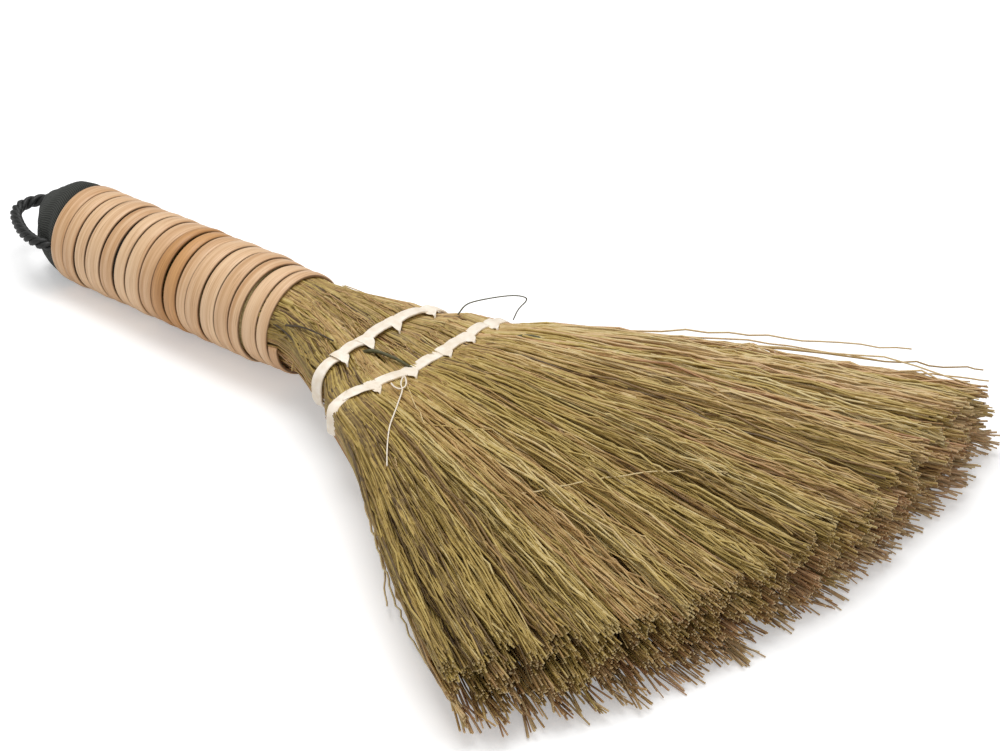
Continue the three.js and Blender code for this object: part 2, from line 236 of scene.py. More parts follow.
def swept(
    name: str,
    routes: Sequence[Array],
    radii: Sequence[Array],
    thickness: float,
    resolution: int = 0,
    traits: Optional[dict[str, Array]] = None,
) -> Object:
    """Sweeps round rods along routes, as bevelled splines made into one mesh.

    Args:
        name: the object's name.
        routes: one array of points in millimetres for each rod.
        radii: for each rod, its points' radii as shares of half the thickness.
        thickness: the rods' diameter in millimetres.
        resolution: how round the rods are; 0 gives four sides.
        traits: for each attribute's name, one number per rod; with them comes cut, 1 on the flat ends.

    Returns:
        The new object.
    """
    curve = bpy.data.curves.new(name, "CURVE")
    curve.dimensions = "3D"
    curve.bevel_depth = thickness / 2 * MM
    curve.bevel_resolution = resolution
    curve.use_fill_caps = True
    for route, radius in zip(routes, radii):
        spline = curve.splines.new("POLY")
        spline.points.add(len(route) - 1)
        spline.points.foreach_set("co", np.c_[route * MM, np.ones(len(route))].ravel())
        spline.points.foreach_set("radius", radius)
    maker = new_object(name + "_route", curve)
    bpy.context.view_layer.update()
    mesh = bpy.data.meshes.new_from_object(maker.evaluated_get(bpy.context.evaluated_depsgraph_get()))
    bpy.data.objects.remove(maker)
    bpy.data.curves.remove(curve)
    mesh.name = name
    mesh.materials.clear()
    if traits:
        counts = np.array([len(route) for route in routes])
        rods = np.arange(len(routes))
        sides = 2 * resolution + 4
        # The flat ends come first in the mesh, the last rod's leading, and then the rods in order.
        owner = np.repeat(np.r_[np.repeat(rods[::-1], 2), np.repeat(rods, counts)], sides)
        for trait, values in traits.items():
            add_attribute(mesh, trait, values[owner])
        add_attribute(mesh, "cut", np.arange(len(owner)) < 2 * len(routes) * sides)
    mesh.polygons.foreach_set("use_smooth", [True] * len(mesh.polygons))
    return new_object(name, mesh)


def dress(
    piece: Object,
    material: Material,
    replaced: Iterable[str] = (),
    body: Optional[str] = BROOM,
) -> None:
    """Gives a piece its finish and its place in the moving model.

    Args:
        piece: the finished object.
        material: its material.
        replaced: the CAD nodes that it stands for.
        body: the body that it rides on, or None where it is blended between bodies.
    """
    piece.data.materials.append(material)
    if body:
        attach(piece, body)
    nodes = list(replaced)
    if nodes:
        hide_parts(*nodes)
    log.info("%s: %d faces", piece.name, len(piece.data.polygons))


# Finishes

def join_surface(
    tree: NodeTree,
    shader: Node,
    colour: NodeSocket,
    height: NodeSocket,
    relief: Pair,
    gloss: Pair,
) -> None:
    """Joins a finish's colour and relief to its shader.

    Args:
        tree: the material's node tree.
        shader: its main shader.
        colour: the socket that gives the colour.
        height: the socket that gives the relief.
        relief: the relief's strength, and its depth in millimetres.
        gloss: the shader's roughness and IOR.
    """
    bump = add_node(tree, "ShaderNodeBump", {
        "Height": height, "Strength": relief[0], "Distance": relief[1] * MM,
    })
    tree.links.new(colour, shader.inputs["Base Color"])
    tree.links.new(bump.outputs[0], shader.inputs["Normal"])
    shader.inputs["Roughness"].default_value = gloss[0]
    shader.inputs["IOR"].default_value = gloss[1]


@dataclass(frozen=True)
class StrawFinish:
    """Dry grass straw, cut and bundled: a waxy skin that dulls with age, olive to red-brown.

    The eye sees single straws, some pale and some brown, with a reddish last few millimetres and pale pith on
    the cut ends. Each straw's tint carries painted shade in the valleys between the tufts, and painted light
    on the low tufts and the far side.
    """

    name: str = "dry_straw"
    # Two ramps from the darkest straw to the palest, at the same places
    tints: tuple[float, ...] = (0.0, 0.2, 0.42, 0.62, 0.82, 1.0)
    olive: tuple[str, ...] = ("#4b3821", "#786036", "#a68c49", "#c0a75f", "#d5c088", "#e2d3a6")
    russet: tuple[str, ...] = ("#4c3423", "#7d573d", "#a87c56", "#c4976c", "#d5ae84", "#e0c39b")
    tip: str = "#6d452d"
    tip_weight: float = 0.22
    pith: str = "#d3bf92"
    pith_weight: float = 0.45
    mottle_mm: float = 2.2
    mottle_weight: float = 0.4
    sewing_dusk: float = 0.07
    relief: Pair = (0.25, 0.1)
    gloss: Pair = (0.5, 1.45)

    def build(self) -> Material:
        """Builds the material.

        Returns:
            A material that reads each straw's tint, which holds its own tone with painted shade and painted
            light, its warmth, and its place along its length.
        """
        material, tree, shader = new_material(self.name)
        reads = {
            trait: add_node(tree, "ShaderNodeAttribute", attribute_name=trait).outputs["Fac"]
            for trait in ("tint", "warm", "reach", "cut")
        }
        place = add_node(tree, "ShaderNodeTexCoord")
        mottle = add_node(tree, "ShaderNodeTexNoise", {
            "Vector": place.outputs["Object"], "Scale": 1 / (self.mottle_mm * MM), "Detail": 3.0,
        })
        drift = add_node(tree, "ShaderNodeMath", {
            0: mottle.outputs["Fac"], 1: self.mottle_weight, 2: -self.mottle_weight / 2,
        }, operation="MULTIPLY_ADD")
        # The bundled straws by the sewing are duskier than the open fan.
        dusk = add_node(tree, "ShaderNodeMapRange", {
            "Value": reads["reach"], "From Min": 0.5, "From Max": 0.64, "To Min": -self.sewing_dusk,
            "To Max": 0.0,
        })
        dulled = add_node(tree, "ShaderNodeMath", {0: reads["tint"], 1: dusk.outputs[0]}, operation="ADD")
        shade = add_node(tree, "ShaderNodeMath", {0: dulled.outputs[0], 1: drift.outputs[0]}, operation="ADD")
        olive, russet = (
            add_node(tree, "ShaderNodeValToRGB", {"Fac": shade.outputs[0]}, stops=list(zip(self.tints, ramp)))
            for ramp in (self.olive, self.russet)
        )
        skin = add_node(tree, "ShaderNodeMix", {
            "Factor": reads["warm"], MIX_A: olive.outputs["Color"], MIX_B: russet.outputs["Color"],
        }, data_type="RGBA")
        tipped = add_node(tree, "ShaderNodeMapRange", {
            "Value": reads["reach"], "From Min": 0.955, "From Max": 1.0, "To Max": self.tip_weight,
        })
        aged = add_node(tree, "ShaderNodeMix", {
            "Factor": tipped.outputs[0], MIX_A: skin.outputs[MIX_RESULT], MIX_B: linear(self.tip),
        }, data_type="RGBA")
        opened = add_node(tree, "ShaderNodeMath", {
            0: reads["cut"], 1: self.pith_weight,
        }, operation="MULTIPLY")
        whole = add_node(tree, "ShaderNodeMix", {
            "Factor": opened.outputs[0], MIX_A: aged.outputs[MIX_RESULT], MIX_B: linear(self.pith),
        }, data_type="RGBA")
        join_surface(tree, shader, whole.outputs[MIX_RESULT], mottle.outputs["Fac"], self.relief, self.gloss)
        return material


@dataclass(frozen=True)
class RattanFinish:
    """Split rattan with its skin outside: satin, with fine fibre lines along the splint.

    The eye sees a warm peel whose tone drifts along the splint, thin brown streaks that run with it, and
    edges darkened with painted shade where the turns meet.
    """

    name: str = "split_rattan"
    light: str = "#f0cda5"
    deep: str = "#c8996b"
    streak: str = "#8a5d38"
    # Painted shade along the splint's edges, where the turns meet
    edge: str = "#5f3f26"
    grain_mm: float = 0.45
    # A fibre line's width, as a share of its length
    slenderness: float = 0.025
    broad_mm: float = 2.0
    relief: Pair = (0.4, 0.2)
    gloss: Pair = (0.4, 1.48)

    def build(self) -> Material:
        """Builds the material.

        Returns:
            A material whose fibre lines follow each splint's own length and width.
        """
        material, tree, shader = new_material(self.name)
        reads = {
            trait: add_node(tree, "ShaderNodeAttribute", attribute_name=trait).outputs["Fac"]
            for trait in ("length", "across", "rim", "tone")
        }
        # Splint coordinates in millimetres, drawn together along the splint
        run = add_node(tree, "ShaderNodeMath", {
            0: reads["length"], 1: self.slenderness,
        }, operation="MULTIPLY")
        lay = add_node(tree, "ShaderNodeCombineXYZ", {"X": run.outputs[0], "Y": reads["across"]})
        fibre = add_node(tree, "ShaderNodeTexNoise", {
            "Vector": lay.outputs[0], "Scale": 1 / self.grain_mm, "Detail": 4.0, "Roughness": 0.65,
        })
        broad = add_node(tree, "ShaderNodeTexNoise", {
            "Vector": lay.outputs[0], "Scale": 1 / self.broad_mm, "Detail": 2.0,
        })
        both = add_node(tree, "ShaderNodeMath", {
            0: fibre.outputs["Fac"], 1: 0.8, 2: broad.outputs["Fac"],
        }, operation="MULTIPLY_ADD")
        toned = add_node(tree, "ShaderNodeMath", {0: both.outputs[0], 1: reads["tone"]}, operation="ADD")
        streaks_and_painted_light = add_node(tree, "ShaderNodeMapRange", {
            "Value": toned.outputs[0], "From Min": 0.62, "From Max": 1.2,
        })
        colour = add_node(tree, "ShaderNodeMix", {
            "Factor": streaks_and_painted_light.outputs[0], MIX_A: linear(self.light), MIX_B: linear(self.deep),
        }, data_type="RGBA")
        line = add_node(tree, "ShaderNodeMapRange", {
            "Value": fibre.outputs["Fac"], "From Min": 0.6, "From Max": 0.72, "To Max": 0.6,
        })
        streaked = add_node(tree, "ShaderNodeMix", {
            "Factor": line.outputs[0], MIX_A: colour.outputs[MIX_RESULT], MIX_B: linear(self.streak),
        }, data_type="RGBA")
        # Painted shade: the rim darkens the splint's edges where the turns meet.
        edged = add_node(tree, "ShaderNodeMix", {
            "Factor": reads["rim"], MIX_A: streaked.outputs[MIX_RESULT], MIX_B: linear(self.edge),
        }, data_type="RGBA")
        join_surface(tree, shader, edged.outputs[MIX_RESULT], both.outputs[0], self.relief, self.gloss)
        return material


@dataclass(frozen=True)
class ClothFinish:
    """Black ribbed webbing: matt threads whose ribs run along the handle; the paler grey on the ribs is a
    painted highlight.
    """

    name: str = "black_webbing"
    dark: str = "#191a18"
    pale: str = "#474943"
    rib_mm: float = 1.0
    thread_mm: float = 0.7
    relief: Pair = (0.7, 0.3)
    gloss: Pair = (0.8, 1.5)

    def build(self) -> Material:
        """Builds the material.

        Returns:
            A material whose ribs follow the cloth's own length and girth.
        """
        material, tree, shader = new_material(self.name)
        length = add_node(tree, "ShaderNodeAttribute", attribute_name="length")
        girth = add_node(tree, "ShaderNodeAttribute", attribute_name="girth")
        lay = add_node(tree, "ShaderNodeCombineXYZ", {
            "X": length.outputs["Fac"], "Y": girth.outputs["Fac"],
        })
        # A wave texture at scale 1 repeats every tau / 20 of its coordinate.
        unit = math.tau / 20
        rib = add_node(tree, "ShaderNodeTexWave", {
            "Vector": lay.outputs[0], "Scale": unit / self.rib_mm, "Distortion": 0.5, "Detail": 1.0,
        }, bands_direction="Y")
        thread = add_node(tree, "ShaderNodeTexWave", {
            "Vector": lay.outputs[0], "Scale": unit / self.thread_mm, "Distortion": 0.8,
        }, bands_direction="X")
        weave = add_node(tree, "ShaderNodeMath", {
            0: thread.outputs["Fac"], 1: 0.3, 2: rib.outputs["Fac"],
        }, operation="MULTIPLY_ADD")
        streaks_and_painted_light = add_node(tree, "ShaderNodeMapRange", {"Value": weave.outputs[0], "From Max": 1.3})
        # Painted highlight: the ribs' crests are mixed towards the paler grey.
        colour = add_node(tree, "ShaderNodeMix", {
            "Factor": streaks_and_painted_light.outputs[0], MIX_A: linear(self.dark), MIX_B: linear(self.pale),
        }, data_type="RGBA")
        join_surface(tree, shader, colour.outputs[MIX_RESULT], weave.outputs[0], self.relief, self.gloss)
        return material


class Fibre(Enum):
    """The plain fibres: light and deep colour, width of their streaks in millimetres, and roughness."""

    # Dry grass stalk, stripped of its leaves: a dull yellow skin with browner stretches
    DRY_STALK = ("#b7a468", "#937e4b", 1.5, 0.55)
    # Hemp, spun: matt tan, with painted shadows between its fibres
    HEMP_TWINE = ("#c4ad7d", "#96804f", 0.7, 0.8)
    # Synthetic cord, laid and dyed black: a painted highlight of dark grey stands for the light its plies
    # catch
    BLACK_CORD = ("#2b2c2a", "#161715", 0.6, 0.5)
    # Cane, peeled and bleached: smooth cream with a soft shine
    BLEACHED_CANE = ("#fff5e6", "#f1e2cc", 3.0, 0.45)
    # Grass stem, weathered: nearly black and dull
    WEATHERED_STEM = ("#5c4e38", "#3a2f21", 2.0, 0.6)
    # Grass leaf, dried and rolled up: dark olive and dull
    DRIED_LEAF = ("#5f5c3a", "#434127", 2.5, 0.6)


@dataclass(frozen=True)
class FibreFinish:
    """A plain fibre such as cord, cane or a stem: fine streaks, and a skin as glossy as its kind."""

    fibre: Fibre
    relief: Pair = (0.3, 0.1)
    ior: float = 1.48

    def build(self) -> Material:
        """Builds the material.

        Returns:
            A material with fine streaks in the row frame.
        """
        light, deep, streak_mm, roughness = self.fibre.value
        material, tree, shader = new_material(self.fibre.name.lower())
        place = add_node(tree, "ShaderNodeTexCoord")
        streak = add_node(tree, "ShaderNodeTexNoise", {
            "Vector": place.outputs["Object"], "Scale": 1 / (streak_mm * MM), "Detail": 3.0,
        })
        streaks_and_painted_light = add_node(tree, "ShaderNodeMapRange", {
            "Value": streak.outputs["Fac"], "From Min": 0.3, "From Max": 0.7,
        })
        # For hemp twine the deep colour is painted shadow between the fibres; for black cord the light colour
        # is a painted highlight.
        colour = add_node(tree, "ShaderNodeMix", {
            "Factor": streaks_and_painted_light.outputs[0], MIX_A: linear(light), MIX_B: linear(deep),
        }, data_type="RGBA")
        gloss = (roughness, self.ior)
        join_surface(tree, shader, colour.outputs[MIX_RESULT], streak.outputs["Fac"], self.relief, gloss)
        return material


# The broom's shape, as the part's source gives it

@dataclass(frozen=True)
class Handle:
    """The round handle, with its own axis along x from the butt-side edge of its winding."""

    tilt: float = math.radians(2.7)
    wrap_length: float = 125.0
    radius_butt: float = 19.6
    radius_neck: float = 20.6
    cap_rest_x: float = -5.0
    cap_dent: float = 0.35
    row_place: float = 163.0
    start: float = field(init=False)

    def __post_init__(self) -> None:
        """Finds the row x of the winding's butt-side edge from the first sewn band."""
        low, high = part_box("cane_band_1")
        object.__setattr__(self, "start", (low.x + high.x) / 2 / MM - self.row_place)

    @property
    def axis_height(self) -> float:
        """Height of the axis over the table at the winding's butt-side edge, in millimetres."""
        reach = self.radius_butt * math.cos(self.tilt) - self.cap_rest_x * math.sin(self.tilt)
        return reach - self.cap_dent

    @property
    def matrix(self) -> Matrix:
        """From handle millimetres to row metres."""
        turn = Matrix.Rotation(-self.tilt, 4, "Y")
        shift = Matrix.Translation(Vector((self.start, 0, self.axis_height)) * MM)
        return shift @ turn @ Matrix.Scale(MM, 4)

    def radius(self, x: Array) -> Array:
        """The winding's outer radius at places along the handle."""
        return self.radius_butt + (self.radius_neck - self.radius_butt) * x / self.wrap_length

    def placed(self, line: Array) -> Array:
        """Handle millimetres to row millimetres, for an array of points."""
        turn = np.array(self.matrix)
        return (line @ turn[:3, :3].T + turn[:3, 3]) / MM


@dataclass(frozen=True)
class Head:
    """The straw head: an oval that flattens from the handle's mouth to the sewing, then a fan."""

    handle: Handle
    mouth_x: float = 121.0
    arch_x: float = 140.0
    arch: float = 5.2
    root_x: float = 194.0
    root_half_width: float = 54.0
    root_half_thickness: float = 9.6
    corner_x: float = 334.0
    middle_x: float = 365.0
    half_width: float = 146.0
    half_thickness: float = 13.8
    fan_square: float = 3.6
    tip_height: float = 14.45
    far_bow: float = 3.0
    near_pinch: float = 2.4
    near_bow: float = 1.8
    near_turn: float = 3.0
    # The outermost straws, which take the fan's two bows: where they begin, and how wide they lie
    rim: Pair = (0.55, 0.45)
    # How deep a stitch pulls the straw in, how far the straw parts past it, and how far across both reach
    pull: float = 1.3
    pull_reach: float = 3.4
    parting: float = 1.3
    parting_reach: float = 3.6
    # How far along the broom a row's hold reaches
    row_reach: float = 6.0
    # Where sweeping has worn the fan's edge: share of the half width, spread and change of length
    wear: Table = ((-0.85, 0.2, -6.0), (-0.1, 0.3, 2.5), (0.2, 0.25, 4.0), (0.9, 0.2, 6.0))
    rows: Pair = (163.0, 184.0)
    stitches: Table = ((-22.5, -9.7, 7.4, 25.0), (-26.5, -9.8, 10.0, 22.9, 37.8))
    # How each row's cane strays along x, at places across the head
    strays: tuple[Table, ...] = (
        ((-35, -0.6), (-22, -0.2), (-9.5, 0.4), (6, -1.3), (17, -0.4), (25, 0.0), (32, 1.0)),
        ((-48, -0.3), (-44, -2.6), (-35, -2.8), (-25, -0.8), (-17, 1.4), (-9, 2.3), (-1.5, 2.7), (10, 1.5),
         (18, 1.3), (26, 0.4), (35, -0.8), (42, 0.2)),
    )
    # Place along the broom, half width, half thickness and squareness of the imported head
    stations: Table = (
        (122, 19, 19, 2), (126, 18.6, 17.3, 2), (138, 22.0, 15.5, 2.2), (151, 29.0, 13.3, 2.6),
        (158.5, 33.4, 12.3, 2.9), (160.5, 33.3, 11.6, 3), (165.5, 33.3, 11.6, 3), (167.5, 37, 11.6, 3.2),
        (174, 42, 10.4, 3.6), (179.5, 45.4, 8.8, 4), (181.5, 46, 7.9, 4), (186.5, 46, 7.9, 4),
        (188.5, 49.6, 8.8, 3.8), (194, 54, 9.6, 3.6),
    )

    def spine(self, x: Array) -> Array:
        """Height of the middle of the head.

        Args:
            x: places along the broom from the winding's butt-side edge, in millimetres.

        Returns:
            Heights over the table in millimetres.
        """
        slope = math.tan(self.handle.tilt)
        x0, x1, x2 = self.mouth_x, self.arch_x, self.middle_x
        z0 = self.handle.axis_height + x0 * slope
        z1 = self.handle.axis_height + x1 * slope + self.arch
        a, b = x0 - 2 * x1 + x2, 2 * (x1 - x0)
        t = (np.sqrt(b * b - 4 * a * (x0 - np.maximum(x, x0))) - b) / (2 * a)
        bent = (1 - t) ** 2 * z0 + 2 * t * (1 - t) * z1 + t * t * self.tip_height
        return np.where(x < x0, self.handle.axis_height + x * slope, bent)

    def section(self, x: Array) -> tuple[Array, Array, Array]:
        """Half width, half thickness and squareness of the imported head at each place."""
        return tuple(read_table(self.stations, x, column) for column in (1, 2, 3))

    def row_half_width(self, row: int) -> float:
        """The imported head's half width at a sewn row, in millimetres."""
        return float(self.section(np.array(self.rows[row]))[0])

    def edge_x(self, share: Array) -> Array:
        """Where the fan's worn edge lies.

        Args:
            share: from -1 at the near edge to 1 at the far edge.

        Returns:
            Places along the broom, in millimetres.
        """
        even = self.corner_x + (self.middle_x - self.corner_x) * (1 - np.minimum(1, np.abs(share)) ** 3)
        return even + sum(much * bell(share, place, span) for place, span, much in self.wear)

    def stray(self, row: int, share: Array) -> Array:
        """How far a row's cane lies from its straight line, at shares of the head's half width."""
        return read_table(self.strays[row], share * self.row_half_width(row))

    def sag(self, row: int, share: Array) -> Array:
        """How deep a row's stitches pull the straw in, at shares of the head's half width."""
        y = share * self.row_half_width(row)
        return sum(self.pull * bell(y, place, self.pull_reach) for place in self.stitches[row])

    def packed(self, x: Array, share: Array, level: Array) -> Array:
        """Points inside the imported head.

        Args:
            x: places along the broom, in millimetres.
            share: from -1 at the near edge to 1 at the far edge.
            level: from -1 underneath to 1 on top.

        Returns:
            Points in row millimetres.
        """
        near = [bell(x, row, self.row_reach) for row in self.rows]
        drift = sum(close * self.stray(row, share) for row, close in enumerate(near))
        width, thick, square = self.section(x - drift)
        rise = thick * np.power(1 - np.minimum(0.999, np.abs(share)) ** square, 1 / square)
        y = share * width
        for row, close in enumerate(near):
            rise = rise - close * np.minimum(self.sag(row, share), 0.5 * rise)
            beyond = x - self.rows[row]
            parted = np.clip((beyond - 1) / 4, 0, 1) * bell(np.maximum(0, beyond - 4), 0, 11)
            for place in self.stitches[row]:
                off = share * self.row_half_width(row) - place
                y = y + self.parting * parted * np.tanh(off / 0.8) * bell(off, 0, self.parting_reach)
        return np.stack([x + self.handle.start, y, self.spine(x) + level * rise], -1)

    def fanned(self, t: Array, x: Array, share: Array, level: Array) -> Array:
        """Points inside the fan.

        Args:
            t: from 0 at the fan's root to 1 at a straw's tip.
            x: places along the broom, in millimetres.
            share: from -1 at the near edge to 1 at the far edge.
            level: from -1 underneath to 1 on top.

        Returns:
            Points in row millimetres.
        """
        grown = self.root_half_width + (self.half_width - self.root_half_width) * t
        thick = self.root_half_thickness + (self.half_thickness - self.root_half_thickness) * t
        oval = np.power(1 - np.minimum(0.999, np.abs(share)) ** self.fan_square, 1 / self.fan_square)
        rise = thick * (oval + (1 - oval) * 0.5 * t ** 0.7)
        start, span = self.rim
        near, far = (np.clip((edge * share - start) / span, 0, 1.1) ** 2 for edge in (-1, 1))
        pinch = self.near_pinch * np.sin(math.pi * t ** 0.45)
        bow = self.near_bow * np.sin(math.pi * np.minimum(1, t) ** 1.6)
        far = far * np.sin(math.pi * t ** 0.6)
        near = near * (pinch - bow + self.near_turn * t ** 4)
        y = share * grown + self.far_bow * far + near
        return np.stack([x + self.handle.start, y, self.spine(x) + level * rise], -1)

    def top(self, x: Array, y: Array) -> Array:
        """Height of the head's upper side over the table.

        Args:
            x: places along the broom, in millimetres.
            y: places across it, in millimetres.

        Returns:
            Heights in millimetres.
        """
        t = np.clip((x - self.root_x) / (self.middle_x - self.root_x), 0, 1)
        wide = self.root_half_width + (self.half_width - self.root_half_width) * t
        width = np.where(x < self.root_x, self.section(x)[0], wide)
        share = np.clip(y / width, -0.999, 0.999)
        packed = self.packed(x, share, np.ones_like(x))[..., 2]
        fanned = self.fanned(t, x, share, np.ones_like(x))[..., 2]
        return np.where(x < self.root_x, packed, fanned)


# Straw

# Where each hank begins and ends, as shares of the fan's half width
HANK_EDGES = ((-0.985, -0.5), (-0.5, 0.0), (0.0, 0.5), (0.5, 0.94))


@dataclass(frozen=True)
class StrawKind:
    """A kind of straw: its places up to the fan's root, its count in a hank, and its steps to the tip."""

    bundled: tuple[float, ...]
    count: int
    steps: tuple[float, ...]


class Growth(Enum):
    """Whole straws, which come through the sewing, and branches, which start just before its second row."""

    WHOLE = StrawKind(
        (116, 126, 135, 145, 154.5, 160.5, 165.5, 173.5, 181.5, 186.5, 191), 480,
        (0.06, 0.16, 0.27, 0.39, 0.51, 0.63, 0.75, 0.87, 1.0),
    )
    BRANCH = StrawKind((177, 188), 1450, tuple(np.linspace(0.04, 1.0, 14)))


@dataclass
class StrawHank:
    """One hank: whole straws through the sewing, and branches that fill out the fan.

    Towards the tips the straws gather into tufts, which end at uneven lengths.
    """

    head: Head
    number: int
    edges: Pair
    columns: int = 10
    layers: int = 5
    top_layer: float = 0.82
    thickness: float = 0.85
    thickness_range: Pair = (0.75, 1.45)
    tip_taper: float = 0.85
    tuft_half_width: float = 2.8
    tuft_half_level: float = 0.23
    tuft_scatter: float = 2.2
    tuft_bows: Pair = (1.7, 0.8)
    straw_scatter: float = 5.5
    straw_bow: float = 0.9
    straw_ripple: float = 0.6
    # How far a straw strays from step to step, sideways and upwards
    kinks: Pair = (0.6, 1.0)
    low_curl: float = 2.0
    # Some straws are broken off short: the share of them, and by how much
    short_share: float = 0.06
    short_by: Pair = (4, 45)

    def tufts(self, chance: Generator) -> Array:
        """Sets out the tufts.

        Args:
            chance: the hank's own random numbers.

        Returns:
            One row per tuft: share, level, extra reach, tint, warmth, sideways bow and upward bow.
        """
        low, high = self.edges
        step = (high - low) / self.columns
        levels = np.linspace(-self.top_layer, self.top_layer, self.layers)
        share, level = np.meshgrid(low + step * (np.arange(self.columns) + 0.5), levels)
        share = share + chance.uniform(-0.3, 0.3, share.shape) * step
        level = level + chance.uniform(-0.1, 0.1, level.shape)
        shape = share.shape
        # Low tufts and those towards the far edge reach further and are redder; painted light makes them
        # paler.
        low_tuft = np.clip(-level, 0, 1)
        reach = chance.normal(0, self.tuft_scatter, shape) - (4 - 2.5 * share) * (level + 1)
        tint = 0.62 + 0.34 * low_tuft + 0.2 * share + chance.normal(0, 0.09, shape)
        warm = 0.46 + 0.28 * share * (1 - low_tuft) - 0.45 * level + chance.normal(0, 0.2, shape)
        bows = [chance.normal(0, bow, shape) for bow in self.tuft_bows]
        return np.stack([v.ravel() for v in (share, level, reach, tint, warm, *bows)], -1)

    def stems(self, kind: StrawKind, share: Array, level: Array, chance: Generator) -> Array:
        """Draws the bundled part of straws, which cross one another most in the neck.

        Args:
            kind: how these straws grow.
            share: each straw's share across the head.
            level: each straw's level in the head.
            chance: the hank's own random numbers.

        Returns:
            Each straw's points in row millimetres.
        """
        head = self.head
        x = np.array(kind.bundled, float) + np.zeros(share.shape)
        x[:, 0] += chance.uniform(-4, 4, kind.count)
        # How far straws stray sideways: most in the neck, and a little between the rows
        loose = 0.008 + 0.04 * bell(x, 135, 13) + 0.012 * bell(x, 173, 4)
        strewn = np.clip(share + loose * chance.normal(0, 1, x.shape), -0.975, 0.975)
        held = np.zeros_like(x)
        for row, place in enumerate(head.rows):
            close = bell(x, place, 5)
            held += close
            x = x + close * head.stray(row, strewn)
        return head.packed(x, strewn, (0.955 - 0.055 * held) * level)

    def fan(
        self,
        kind: StrawKind,
        roots: tuple[Array, Array],
        tips: tuple[Array, Array, Array],
        bows: Sequence[Array],
        chance: Generator,
    ) -> Array:
        """Draws the open part of straws.

        Args:
            kind: how these straws grow.
            roots: each straw's share and level at the fan's root.
            tips: each straw's share and level at its tip, and its tuft's extra reach.
            bows: how far each straw's tuft bows sideways and upwards.
            chance: the hank's own random numbers.

        Returns:
            Each straw's points in row millimetres.
        """
        head = self.head
        (root_share, root_level), (tip_share, tip_level, reach) = roots, tips
        column = tip_share.shape
        t = np.array(kind.steps)[None, :]
        joined = np.clip(t / 0.55, 0, 1)
        joined = joined * joined * (3 - 2 * joined)
        broken = chance.random(column) < self.short_share
        short = np.where(broken, chance.uniform(*self.short_by, column), 0)
        full_x = head.edge_x(tip_share)
        uneven = chance.normal(0, self.straw_scatter, column)
        tip_x = full_x + reach + np.minimum(uneven, 0.3 * uneven) - short
        x = head.root_x + (tip_x - head.root_x) * t
        share = root_share + (tip_share - root_share) * joined
        level = root_level + (tip_level - root_level) * joined
        points = head.fanned(t * (tip_x - head.root_x) / (full_x - head.root_x), x, share, level)
        wave, ripple = np.sin(math.pi * t), np.sin(math.tau * t)
        for axis, bow, kink in zip((1, 2), bows, self.kinks):
            bent = (bow + chance.normal(0, self.straw_bow, column)) * wave
            points[:, :, axis] += bent + chance.normal(0, self.straw_ripple, column) * ripple
            points[:, :, axis] += chance.normal(0, kink, x.shape) * np.minimum(1, 0.4 + t)
        points[:, -1, 1:] += chance.normal(0, self.low_curl, (kind.count, 2)) * np.clip(-tip_level, 0, 1)
        return points

    def straws(self, kind: StrawKind, chance: Generator) -> tuple[Array, Array, dict[str, Array]]:
        """Draws all straws of one kind.

        Args:
            kind: how they grow.
            chance: the hank's own random numbers.

        Returns:
            Their points in row millimetres, their radii as shares, and each straw's tint and warmth.
        """
        tufts = self.tufts(chance)
        # More straws belong to the upper tufts, above all at the near edge.
        favour = 1 + (0.7 - 0.25 * tufts[:, 0]) * tufts[:, 1]
        chosen = tufts[chance.choice(len(tufts), kind.count, p=favour / favour.sum())][:, :, None]
        tuft_share, tuft_level, tuft_reach, tuft_tint, tuft_warm, *bows = chosen.transpose(1, 0, 2)
        column = (kind.count, 1)
        away = np.sqrt(chance.random(column))
        turn = chance.uniform(0, math.tau, column)
        tip_share = tuft_share + away * np.cos(turn) * self.tuft_half_width / self.head.half_width
        tip_level = np.clip(tuft_level + away * np.sin(turn) * self.tuft_half_level, -1.0, 1.05)
        tip_share = np.maximum(tip_share, -0.99 + 0.05 * np.clip(-tip_level, 0, 1))
        root_share = np.clip(tip_share + chance.normal(0, 0.02, column), *self.edges)
        root_level = np.clip(tip_level + chance.normal(0, 0.22, column), -1, 1)
        stems = self.stems(kind, root_share, root_level, chance)
        tips = (tip_share, tip_level, tuft_reach)
        fan = self.fan(kind, (root_share, root_level), tips, bows, chance)
        points = np.concatenate([stems, fan], axis=1)
        size = chance.uniform(*self.thickness_range, column)
        points[:, :, 2] = np.maximum(points[:, :, 2], size * self.thickness / 2 + TABLE_GAP)
        radii = size * np.r_[np.ones(stems.shape[1]), np.linspace(1.0, self.tip_taper, fan.shape[1])]
        # Painted shade darkens the straws between the tufts. Those on top are never the palest, and the cap
        # rises with the painted light of the far side and the low tufts.
        painted_valley_shade = np.clip((away - 0.75) / 0.25, 0, 1)
        tint = tuft_tint - 0.12 * painted_valley_shade + chance.normal(0, 0.13, column)
        tint = np.minimum(0.8 + 0.06 * tuft_share + 0.12 * np.clip(-tuft_level, 0, 1), tint)
        warm = tuft_warm + chance.normal(0, 0.15, column)
        return points, radii, {"tint": np.clip(tint, 0, 1)[:, 0], "warm": np.clip(warm, 0, 1)[:, 0]}

    def build(self, growth: Growth, material: Material) -> None:
        """Makes the hank's whole straws or its branches as one piece.

        Args:
            growth: which of the two.
            material: the straw finish.
        """
        chance = np.random.default_rng(1000 + self.number)
        points, radii, traits = self.straws(growth.value, chance)
        name = f"{growth.name.lower()}_straws_of_hank_{self.number}"
        piece = swept(name, points, radii, self.thickness, 0, traits)
        place = vertex_places(piece.data)
        edge = self.head.edge_x(place[:, 1] / self.head.half_width)
        add_attribute(piece.data, "reach", (place[:, 0] - self.head.handle.start) / edge)
        dress(piece, material, [f"straw_hank_{self.number}"])


